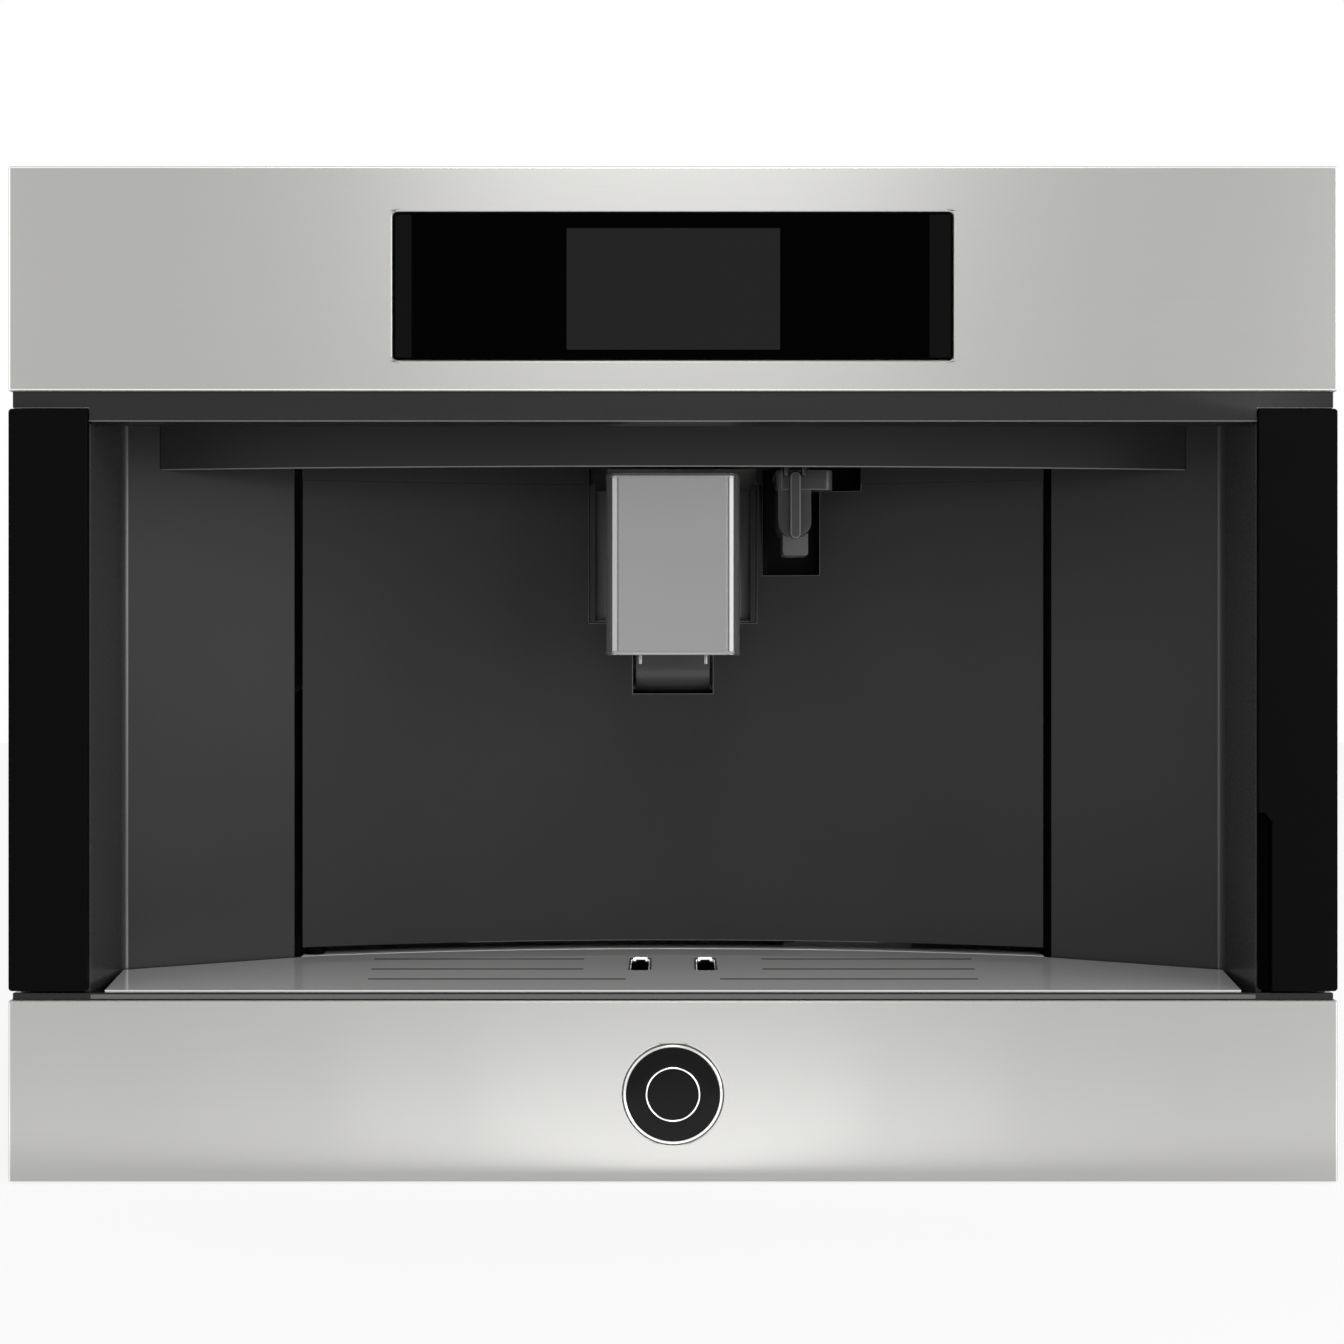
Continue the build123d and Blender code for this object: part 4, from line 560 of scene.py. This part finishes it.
piece = bevelled("upper_fascia", PANEL_EDGE, 3)
# the upper panel's forward-facing rounded edges get a near-white metal: a painted highlight
recolour(piece, "metal_painted_highlight", lambda f: painted_highlight_rim(f) and not near_glass(f.center))
piece = bevelled("lower_fascia", PANEL_EDGE, 3)
# the lower panel's forward-facing rounded edges, but for the top ones, get a near-white metal: a
# painted highlight
recolour(piece, "metal_painted_highlight", lambda f: (
    painted_highlight_rim(f) and f.normal.z < 0.2 and abs(f.center.x) > BADGE_REACH * MM
))
piece = bevelled("front_frame", 0.4)
# the frame's lower rounded edges get a lighter grey: a painted highlight
recolour(piece, "dark_plastic_painted_highlight", lambda f: front_edge(f) and f.normal.z < -0.2)
extruded("glass_pane", rounded_box(glass_x0, glass_x1, glass_z0, glass_z1, 2.0), "y",
         glass_d0, glass_d1, "machine", "black_gloss", 0.35, 3, stands_for=("display_glass",))
end_z = (glass_z0 + END_INSET, glass_z1 - END_INSET)
for name, edges, slot, look in (
    ("screen_window", SCREEN, "screen", "screen"),
    ("glass_end_left", (glass_x0 + END_INSET, glass_x0 + END_LEFT, *end_z),
     "black_gloss", "glass_end"),
    ("glass_end_right", (glass_x1 - END_RIGHT, glass_x1 - END_INSET, *end_z),
     "black_gloss", "glass_end"),
):
    extruded(name, rounded_box(*edges, 0.5, 3), "y", *FLUSH, "machine", slot, look=look)

# ---------------------------------------------------------------- badge: bare disc, plain rings
badge_z0, badge_z1 = limits("badge_ring")[2]
badge_z = (badge_z0 + badge_z1) / 2
badge_radius = (badge_z1 - badge_z0) / 2
RIM_WIDTH = 1.55
BADGE_STEPS = 96
disc_radius = badge_radius - RIM_WIDTH
# profiles as (radius, depth); the inner ring sits in a groove of the face
stacked("badge_face", turned_rings(0, 0, badge_z, "y", (
    (disc_radius, 2.2), (disc_radius, 0.1), (disc_radius - 0.4, -0.1), (12.6, 0.05),
    (12.3, 0.3), (11.4, 0.3), (11.1, 0.05), (6.0, 0.0), (1.0, 0.0),
), BADGE_STEPS), "machine", "badge_black", stands_for=("badge_disc",))
stacked("badge_rim", turned_rings(0, 0, badge_z, "y", (
    (badge_radius, 2.2), (badge_radius, -0.1), (badge_radius - 0.2, -0.45),
    (badge_radius - 0.6, -0.72), (badge_radius - 1.0, -0.72), (badge_radius - 1.3, -0.45),
    (disc_radius, 0.0), (disc_radius, 2.1),
), BADGE_STEPS), "machine", "bright_metal", stands_for=("badge_ring",))
stacked("badge_inner_ring", turned_rings(0, 0, badge_z, "y", (
    (12.3, 0.3), (12.15, -0.1), (11.85, -0.22), (11.55, -0.1), (11.4, 0.3),
), BADGE_STEPS), "machine", "bright_metal")

# ---------------------------------------------------------------- pull bars
BAR_PLATE = 4.5                             # thickness of the bar's flat front
BAR_CORNER = 1.6
CORE_INSET = 0.25                           # the part behind the notch is a little smaller
RIB_INNER, RIB_OUTER, RIB_END = 12.3, 6.0, 6.0   # how far the bar's rib keeps from its edges
NOTCH_WIDTH, NOTCH_HEIGHT, NOTCH_DEPTH = 6.0, 79.9, 3.0
NOTCH_SLOPE_X, NOTCH_SLOPE_Z = 3.3, 4.0     # slope at the notch's top
for side, word in SIDES:
    node = "pull_bar_" + word
    (x0, x1), (_, d1), (z0, z1) = limits(node)
    outline = rounded_box(x0, x1, z0, z1, BAR_CORNER)
    rear_outline = rounded_box(
        x0 + CORE_INSET, x1 - CORE_INSET, z0 + CORE_INSET, z1 - CORE_INSET, BAR_CORNER,
    )
    if word == "right":
        notch_x, notch_z = x0 + NOTCH_WIDTH, z0 + NOTCH_HEIGHT
        quarter = len(outline) // 4
        outline = outline[:2 * quarter] + [
            (x0, notch_z), (notch_x - NOTCH_SLOPE_X, notch_z), (notch_x, notch_z - NOTCH_SLOPE_Z),
            (notch_x, z0),
        ] + outline[3 * quarter:]
    extruded(node + "_plate", outline, "y", 0, NOTCH_DEPTH, "machine", "black_gloss", 0.5, 2,
             look="bar_black", stands_for=(node,))
    extruded(node + "_core", rear_outline, "y", NOTCH_DEPTH, BAR_PLATE, "machine", "black_gloss")
    inner, outer = (x1, x0) if side < 0 else (x0, x1)
    rib_x = sorted((inner + side * RIB_INNER, outer - side * RIB_OUTER))
    extruded(node + "_rib", rounded_box(*rib_x, z0 + RIB_END, z1 - RIB_END, 1.0, 3), "y", BAR_PLATE,
             d1, "machine", "black_gloss", 0.4, look="bar_black")

# ---------------------------------------------------------------- cup bay
HEADER_LOW = limits("door_header")[2][0]
DOOR_TOP = limits("service_door")[2][1]
CORNER_X = 250.0                            # round corner between jamb and wall lies outside this
DOOR_GAP = 0.12                             # between the door's top and the header over it
OPENING_X = 100.0                           # the door's openings lie within this
for side, word in SIDES:
    piece = bevelled("cavity_%s_wall" % word, 0.3)
    recolour(piece, "bay_corner", lambda f: (
        f.normal.z ** 2 < 0.01 and 0.6 < -side * f.normal.x < 0.97 and f.normal.y < -0.2
        and abs(f.center.x) > CORNER_X * MM
    ))
piece = bevelled("cavity_shroud", 0.5, look="shroud_plastic")
# the shroud's lower rounded edges get a lighter grey: a painted highlight
recolour(piece, "dark_plastic_painted_highlight", lambda f: front_edge(f) and f.normal.z < -0.3)
piece = bevelled("service_door", 0.35, skip=lambda p: p.z > (DOOR_TOP - 0.5) * MM)
# the rounded edges round the door's openings get a lighter grey: a painted highlight
recolour(piece, "dark_plastic_painted_highlight", lambda f: (
    front_edge(f) and abs(f.center.x) < OPENING_X * MM and abs(f.normal.x) + abs(f.normal.z) > 0.35
))
header = cad_copy("door_header")
for vert in header.verts:
    if vert.co.z < (HEADER_LOW + 0.1) * MM:
        vert.co.z = (DOOR_TOP + DOOR_GAP) * MM
piece = finish_mesh("door_header_piece", header, "machine", "bay_plastic")
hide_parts("door_header")
guide_x, guide_d, _ = limits("spout_guide")
GUIDE_FACE = 0.6                            # faces within this of the guide's front match the door
GUIDE_FLANGE = 6.5                          # width of the guide's rear flange, out of the light, whose front faces are painted black as shade
# the guide's channel is lighter than the door's plastic: painted light against its shade; its front
# faces match the door
piece = bevelled("spout_guide", 0.12, look="guide_plastic_painted_lighter")
recolour(piece, "bay_plastic", lambda f: depth_of(f.center) < guide_d[0] + GUIDE_FACE)
# the flange's front faces are painted black as shade
recolour(piece, "black_and_painted_shade", lambda f: (
    abs(f.center.x) > (guide_x[1] - GUIDE_FLANGE) * MM and f.normal.y < -0.5
))
scoop_x, scoop_d, scoop_z = limits("scoop_plate")
SCOOP_BEND = 12.6                           # height of the crease over the scoop's lower end
SCOOP_THICK = 2.0


def scoop_curve(depth, crease, base, steps=10):
    """Front surface of the scoop: flat, a crease, then curving back to its lower end."""
    curve = [(depth, scoop_z[1]), (depth, crease)]
    start, bulge, end = (depth + 0.5, crease - 0.6), (depth + 2.4, base + 1.6), (scoop_d[1], base)
    for step in range(steps + 1):
        t = step / steps
        curve.append(tuple(
            (1 - t) ** 2 * a + 2 * t * (1 - t) * b + t * t * c for a, b, c in zip(start, bulge, end)
        ))
    return curve


front = scoop_curve(scoop_d[0], scoop_z[0] + SCOOP_BEND, scoop_z[0])
rear = scoop_curve(
    scoop_d[0] + SCOOP_THICK, scoop_z[0] + SCOOP_BEND + 0.6, scoop_z[0] + SCOOP_THICK,
)
extruded("finger_scoop", front + rear[::-1], "x", scoop_x[0], scoop_x[1], "service_door",
         "bay_plastic", 0.25, 2, look="scoop_plastic", stands_for=("scoop_plate",))
bevelled("door_sill", 0.15)
bevelled("drip_tray", 0.3)

# light strip of metal under the tray's front edge
STRIP_X, STRIP_D = 261.0, (1.2, 2.1)
STRIP_RISE = (0.5, 2.6)                     # its lower and upper edge over the lower panel
strip_low, strip_high = (limits("lower_fascia")[2][1] + rise for rise in STRIP_RISE)
extruded("tray_trim", (
    (-STRIP_X, strip_low), (STRIP_X, strip_low), (STRIP_X, strip_high), (-STRIP_X, strip_high),
), "y", *STRIP_D, "machine", "tray_plate", 0.2, 2, look="trim_grey")

# ---------------------------------------------------------------- cup plate
PLATE_TOP = limits("cup_plate")[2][1]
SLOT_ROWS = (42.0, 77.0, 114.5)             # their depths
SLOT_INNER = 21.0                           # slots lie outside this
SLOT_FLARE = 1.1                            # slots widen towards the plate's top
EDGE_REACH, WALL_REACH = 0.7, 1.3           # how near a slot's edges and its flared walls lie


def slot_row(point, reach):
    """Row of slots that a point lies in, give or take a reach, or None."""
    depth = depth_of(point)
    if abs(point.x) > SLOT_INNER * MM:
        for row in SLOT_ROWS:
            if abs(depth - row) < reach:
                return row
    return None


plate_mesh = cad_copy("cup_plate")
for vert in plate_mesh.verts:
    row = slot_row(vert.co, EDGE_REACH)
    if row and vert.co.z > (PLATE_TOP - 0.1) * MM:
        vert.co.y += math.copysign(SLOT_FLARE * MM, depth_of(vert.co) - row)
piece = finish_mesh("cup_plate_piece", plate_mesh, "cup_plate", "tray_plate", angle=20)
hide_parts("cup_plate")
# the slots' walls are painted black as shade
recolour(piece, "black_and_painted_shade", lambda f: slot_row(f.center, WALL_REACH) and f.normal.z < 0.98)
DRAIN_X, DRAIN_D = 16.0, 92.0
DRAIN_HALF_WIDTH, DRAIN_HALF_LENGTH = 4.3, 20.0
LIP = 1.3                                   # width of the lip round a drain hole
LIP_RISE = 1.1                              # it stands up at the back and dies out to the front
LIP_FRONT = DRAIN_D - DRAIN_HALF_LENGTH + 1.5    # and looks like the plate up to this depth
for side, word in SIDES:
    rings = []
    for grow, low, rise in (
        (0.0, -1.2, 0.0), (0.0, 0.0, 0.5), (0.3, 0.02, 1.0), (LIP * 0.7, 0.03, 0.9), (LIP, 0.0, 0.0),
    ):
        outline = rounded_box(
            side * DRAIN_X - DRAIN_HALF_WIDTH - grow, side * DRAIN_X + DRAIN_HALF_WIDTH + grow,
            DRAIN_D - DRAIN_HALF_LENGTH - grow, DRAIN_D + DRAIN_HALF_LENGTH + grow, 2.0 + grow,
        )
        ring = []
        for x, d in outline:
            back = min(1.0, max(0.0, (d - DRAIN_D + DRAIN_HALF_LENGTH) / (2 * DRAIN_HALF_LENGTH)))
            ring.append(spot(x, d, PLATE_TOP + low + LIP_RISE * rise * back))
        rings.append(ring)
    bm = bmesh.new()
    add_rings(bm, rings, looped=True)
    bmesh.ops.recalc_face_normals(bm, faces=bm.faces)
    # the lip beyond LIP_FRONT gets a near-white metal: a painted highlight
    piece = finish_mesh("drain_lip_" + word, bm, "cup_plate", "tray_plate", "metal_painted_highlight")
    recolour(piece, "tray_plate", lambda f: depth_of(f.center) < LIP_FRONT)

# ---------------------------------------------------------------- coffee spout
(cover_x0, cover_x1), (cover_d0, cover_d1), (cover_z0, cover_z1) = limits("spout_cover")
SPOUT_SHELL = 2.0
SIDE_RADIUS, SIDE_DEPTH = 11.76, 8.9        # side curve, and the depth at which it starts
SIDE_TURN, SIDE_STEPS = 46.0, 7             # it turns as far as this, then a bright facet follows
FACET_END, FACET_SLANT = 5.1, 0.4           # from the cover's side, and its shift with the inset
GROOVE_IN, GROOVE_WIDTH, GROOVE_DEPTH = 5.6, 0.5, 0.5
GROOVE_SLOPE = 0.05
RIM_INSET = 1.6                             # inner side of the rims along the cover's ends


def spout_path(inset, grooved):
    """Plan of the cover from its back left to its back right, as (x, depth)."""
    left, front = cover_x0 + inset, cover_d0 + inset
    radius = SIDE_RADIUS - inset
    half = [(left, cover_d1)]
    for step in range(SIDE_STEPS + 1):
        angle = math.radians(90 - (90 - SIDE_TURN) * step / SIDE_STEPS)
        half.append((
            left + radius - radius * math.sin(angle),
            cover_d0 + SIDE_DEPTH - radius * math.cos(angle),
        ))
    half.append((cover_x0 + FACET_END + FACET_SLANT * inset, front))
    if grooved:
        groove = cover_x0 + GROOVE_IN
        half += [
            (groove, front), (groove + GROOVE_SLOPE, front + GROOVE_DEPTH),
            (groove + GROOVE_WIDTH, front + GROOVE_DEPTH),
            (groove + GROOVE_WIDTH + GROOVE_SLOPE, front),
        ]
    middle = (cover_x0 + cover_x1) / 2
    return half + [(2 * middle - x, d) for x, d in reversed(half)]


# shell that is open at the bottom
bm = bmesh.new()
outer_low, outer_high = (
    [bm.verts.new(spot(x, d, z)) for x, d in spout_path(0, True)] for z in (cover_z0, cover_z1)
)
inner_low, inner_high = (
    [bm.verts.new(spot(x, d, z)) for x, d in spout_path(SPOUT_SHELL, False)]
    for z in (cover_z0, cover_z1 - SPOUT_SHELL)
)
for low, high in ((outer_low, outer_high), (inner_low, inner_high)):
    for i in range(len(low) - 1):
        bm.faces.new((low[i], low[i + 1], high[i + 1], high[i]))
bm.faces.new(outer_high)
bm.faces.new(inner_high)
bm.faces.new(outer_low + inner_low[::-1])
bm.faces.new((
    outer_low[0], inner_low[0], inner_high[0], inner_high[-1], inner_low[-1], outer_low[-1],
    outer_high[-1], outer_high[0],
))
bmesh.ops.recalc_face_normals(bm, faces=bm.faces)
piece = finish_mesh("spout_cover_piece", bm, "coffee_spout", "spout_metal", angle=15)
rounded_edges(piece, 0.3, limit=60)
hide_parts("spout_cover")
# rims round the cover's lower and upper end, as (inset, height) from that end
for name, base, levels in (
    ("spout_rim_low", cover_z0, (
        (1.1, 0.0), (0.3, 0.2), (-0.15, 0.6), (-0.35, 1.1), (-0.35, 1.7), (0.0, 1.9),
    )),
    ("spout_rim_top", cover_z1, (
        (0.0, -2.1), (-0.3, -1.9), (-0.35, -0.9), (-0.1, -0.4), (0.5, -0.1), (1.1, 0.0),
    )),
):
    inner_path = spout_path(RIM_INSET, False)[::-1]
    stacked(name, [
        [spot(x, d, base + rise) for x, d in spout_path(inset, False) + inner_path]
        for inset, rise in levels
    ], "coffee_spout", "spout_metal")
bevelled("spout_body", 0.4)

# ---------------------------------------------------------------- hot-water outlet
lever_x, lever_d, lever_z = limits("hot_water_lever")
BODY_FRONT = 97.0                           # depth of the outlet body's face
TIP_TOP = lever_z[0] + 1.6                  # the outlet's light tip lies below this
LEVER_TOP, LEVER_CORNER = 326.4, 2.7
BRACKET_X, BRACKET_Z = (50.7, 78.4), (317.9, 327.8)
BRACKET_D = (BODY_FRONT - 0.3, BODY_FRONT + 14.0)
piece = bevelled("hot_water_spout", 0.5)
recolour(piece, "outlet_tip", lambda f: f.center.z < TIP_TOP * MM)
piece = extruded(
    "hot_water_lever_piece", rounded_box(*lever_x, lever_z[0], LEVER_TOP, LEVER_CORNER), "y", *lever_d,
    "hot_water_lever", "outlet_grey", 0.9, 3, stands_for=("hot_water_lever",),
)
# the lever's rounded front edges get a lighter grey: a painted highlight
recolour(piece, "outlet_painted_highlight", lambda f: front_edge(f) and f.normal.z < 0.5)
piece = extruded("outlet_bracket", rounded_box(*BRACKET_X, *BRACKET_D, 4.0), "z", *BRACKET_Z,
                 "hot_water_spout", "outlet_grey", 0.6, 3)
# the bracket's rounded front edges get a lighter grey: a painted highlight
recolour(piece, "outlet_painted_highlight", front_edge)
bevelled("hot_water_connector", 0.3, look="black_and_painted_shade")

# coffee nozzles, each with a small bore
(_, nozzle_x1), (nozzle_d0, nozzle_d1), (nozzle_z0, nozzle_z1) = limits("spout_nozzles")
nozzle_d = (nozzle_d0 + nozzle_d1) / 2
nozzle_radius = (nozzle_d1 - nozzle_d0) / 2
NOZZLE_STEPS = 24
for side, word in SIDES:
    nozzle_x = side * (nozzle_x1 - nozzle_radius)
    stacked("nozzle_" + word, turned_rings(nozzle_x, nozzle_d, nozzle_z0, "z", (
        (0.5, 0.8), (0.55, 0.0), (nozzle_radius - 0.2, 0.0), (nozzle_radius, 0.25),
        (nozzle_radius, nozzle_z1 - nozzle_z0),
    ), NOZZLE_STEPS), "coffee_spout", "bright_metal", "spout_metal",
        stands_for=("spout_nozzles",) if side < 0 else ())

# ---------------------------------------------------------------- casing
(CASE_LEFT, CASE_RIGHT), (_, CASE_BACK), (_, CASE_TOP) = limits("housing_back")
PLATES = {                                  # place on a plate, w outwards from its face
    "back": lambda u, v, w: spot(u, CASE_BACK + w, v),
    "top": lambda u, v, w: spot(u, v, CASE_TOP + w),
    "left": lambda u, v, w: spot(CASE_LEFT - w, u, v),
    "right": lambda u, v, w: spot(CASE_RIGHT + w, u, v),
}
# section of a louvre: (across, lowest rise, rise in the middle)
LOUVRE = ((3.6, -0.3, -0.3), (2.4, 0.0, 1.2), (0.2, 0.0, 2.2), (-3.0, 0.0, 2.7), (-3.0, -0.3, -0.3))
LOUVRE_STEPS = 12
LOUVRE_PITCH = 11.0
LOUVRE_GROUPS = {                           # (start, length, first row, rows)
    "back": ((-205, 70, 300, 11), (135, 70, 300, 11), (-35, 70, 150, 6)),
    "top": ((-245, 70, 215, 11),),
    "left": ((250, 90, 200, 9),),
    "right": ((250, 90, 200, 9),),
}
OPEN_SIDES = {"back": (0, 0, -1), "top": (0, -1, 0), "left": (0, 0, -1), "right": (0, 0, -1)}
SIDE_BEADS = ((60, 365, 120, 134), (60, 365, 345, 359), (60, 365, 390, 404))
BEADS = {                                   # edges of each bead
    "back": ((-225, 225, 222, 236), (-225, 225, 262, 276)),
    "top": ((-235, 235, 66, 80), (-235, 235, 104, 118), (-235, 235, 142, 156)),
    "left": SIDE_BEADS,
    "right": SIDE_BEADS,
}
# levels of a bead: (inset, rise, corner)
BEAD_LEVELS = ((0, -0.2, 6.0), (0, 0.0, 6.0), (1.2, 0.8, 4.8), (2.6, 1.2, 3.4))


def louvre(place, u0, length, v):
    """Rings of one pressed louvre: a hood with its opening on the low side."""
    rings = []
    for step in range(LOUVRE_STEPS + 1):
        t = -math.cos(math.pi * step / LOUVRE_STEPS)
        swell = (1 - abs(t) ** 7) ** 0.5 if abs(t) < 1 else 0.0
        rings.append([
            place(u0 + length * (t + 1) / 2, v + across, max(rise * swell, 0.0) if low == 0 else low)
            for across, low, rise in LOUVRE
        ])
    return rings


def bead(place, u0, u1, v0, v1):
    """Rings of one pressed stiffening bead."""
    return [
        [place(u, v, w) for u, v in rounded_box(u0 + inset, u1 - inset, v0 + inset, v1 - inset, r)]
        for inset, w, r in BEAD_LEVELS
    ]


def pressed_forms(name, forms, open_side=None):
    """One piece with all of a casing plate's louvres or beads; the louvres' openings are painted black
    as shade.
    """
    bm = bmesh.new()
    for rings in forms:
        add_rings(bm, rings)
    bmesh.ops.recalc_face_normals(bm, faces=bm.faces)
    piece = finish_mesh(name, bm, "machine", "zinc_sheet", angle=40)
    if open_side:
        recolour(piece, "black_and_painted_shade", lambda f: f.normal.dot(Vector(open_side)) > 0.9)


for plate, groups in LOUVRE_GROUPS.items():
    pressed_forms("louvres_" + plate, [
        louvre(PLATES[plate], u0, length, v0 + LOUVRE_PITCH * row)
        for u0, length, v0, rows in groups for row in range(rows)
    ], OPEN_SIDES[plate])
for plate, beads in BEADS.items():
    pressed_forms("beads_" + plate, [bead(PLATES[plate], *edges) for edges in beads])

# screws: pan heads with a cross recess
SCREW_X, SCREW_ROWS = 258.8, (65.0, 224.5, 433.0)
HEAD_STEPS = 48
HEAD = (                                    # (radius, rise, whether it has the cross's outline)
    (4.0, 0.0, False), (4.0, 0.9, False), (3.7, 1.6, False), (3.0, 2.1, False), (2.5, 2.3, False),
    (2.2, 2.35, True), (1.9, 1.0, True),
)
CROSS_ARM, CROSS_WAIST = 0.9, 0.35          # how wide the arms are, and how far in the corners lie
bm = bmesh.new()
for x in (-SCREW_X, SCREW_X):
    for z in SCREW_ROWS:
        rings = []
        for radius, w, crossed in HEAD:
            ring = []
            for step in range(HEAD_STEPS):
                angle = 2 * math.pi * step / HEAD_STEPS
                waist = crossed and abs(math.cos(2 * angle)) <= CROSS_ARM
                reach = radius * CROSS_WAIST if waist else radius
                across, up = reach * math.cos(angle), reach * math.sin(angle)
                ring.append(PLATES["back"](x + across, z + up, w))
            rings.append(ring)
        add_rings(bm, rings)
bmesh.ops.recalc_face_normals(bm, faces=bm.faces)
piece = finish_mesh("casing_screws", bm, "machine", "rail_steel")
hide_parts("housing_screws")

# plates, rails, lids and everything inside, with their edges rounded by so many millimetres
for node, width in (
    ("housing_left", 0.4), ("housing_right", 0.4), ("chassis_base", 0.5), ("inner_deck", 0.5),
    ("cabinet_rails", 0.3), ("middle_rails", 0.3), ("inner_rails", 0.3), ("mains_inlet", 0.35),
    ("power_switch", 0.5), ("water_tank", 0.5), ("bean_hopper", 0.5), ("grounds_container", 0.6),
    ("brew_unit", 0.7), ("grinder_body", 0.7), ("thermoblock", 0.6), ("water_pump", 0.5),
    ("flow_meter", 0.4), ("hopper_lid", 0.5), ("tank_lid", 0.5), ("funnel_lid", 0.5),
    ("tray_well", 0.4), ("latch_magnet", 0.4), ("cavity_ceiling", 0.4), ("control_board", 0.2),
    ("power_board", 0.2), ("display_screen", 0.3),
):
    bevelled(node, width)

# brew unit: raised front with a port, a release lever and ribs
(unit_x0, unit_x1), (unit_d, _), (unit_z0, unit_z1) = limits("brew_unit")
PANEL_SIDE, PANEL_END, PANEL_RISE = 6.0, 8.0, 1.6    # raised panel on the unit's front
PORT_DROP, PORT_STEPS = 42.0, 64            # port's centre under the unit's top
RELEASE_SIDE, RELEASE_LOW, RELEASE_HIGH = 30.0, 22.0, 36.0
RIB_FIRST, RIB_PITCH, RIB_HEIGHT, RIB_INSET, RIBS = 44.0, 5.0, 1.6, 14.0, 4
extruded("brew_unit_panel", rounded_box(
    unit_x0 + PANEL_SIDE, unit_x1 - PANEL_SIDE, unit_z0 + PANEL_END, unit_z1 - PANEL_END, 6,
), "y", unit_d - PANEL_RISE, unit_d + 0.2, "machine", "white_plastic", 0.6, 3)
unit_x = (unit_x0 + unit_x1) / 2
stacked("brew_unit_port", turned_rings(unit_x, unit_d - PANEL_RISE, unit_z1 - PORT_DROP, "y", (
    (17.0, 0.2), (17.0, -1.6), (16.2, -2.4), (12.8, -2.4), (12.0, -1.6), (12.0, -0.4), (7.0, -0.4),
    (6.6, -2.0), (5.2, -2.4), (1.0, -2.4),
), PORT_STEPS), "machine", "inner_plastic")
extruded("brew_unit_release", rounded_box(
    unit_x0 + RELEASE_SIDE, unit_x1 - RELEASE_SIDE, unit_z0 + RELEASE_LOW, unit_z0 + RELEASE_HIGH, 5,
), "y", unit_d - 5.0, unit_d - 1.5, "machine", "inner_plastic", 1.2, 3)
for row in range(RIBS):
    rib_z = unit_z0 + RIB_FIRST + RIB_PITCH * row
    extruded("brew_unit_rib_%d" % row, rounded_box(
        unit_x0 + RIB_INSET, unit_x1 - RIB_INSET, rib_z, rib_z + RIB_HEIGHT, 0.7, 3,
    ), "y", unit_d - 2.6, unit_d - 1.5, "machine", "white_plastic", 0.4)

# three ribs to grip each lid by, near its front edge: height of the lid's face, half width, reach
GRIP_START, GRIP_WIDTH, GRIP_SINK, GRIP_RISE, GRIP_PITCH = 6.0, 1.8, 0.2, 1.2, 0.4
for node, lid_top, half, reach in (
    ("hopper_lid", 438.5, 22.0, 9.0), ("tank_lid", 430.5, 18.0, 9.0), ("funnel_lid", 438.5, 10.0, 7.0),
):
    (x0, x1), (lid_front, _), _ = limits(node)
    middle = (x0 + x1) / 2
    for row in range(3):
        near = lid_front + GRIP_START + row * GRIP_PITCH * reach
        extruded("%s_grip_%d" % (node, row), rounded_box(
            middle - half, middle + half, near, near + GRIP_WIDTH, 0.8, 3,
        ), "z", lid_top - GRIP_SINK, lid_top + GRIP_RISE, body_of[node], slot_of[node], 0.4)

# ---------------------------------------------------------------- everything else
for node, piece in nodes.items():
    piece.data.materials.clear()
    piece.data.materials.append(looks[slot_of[node]])
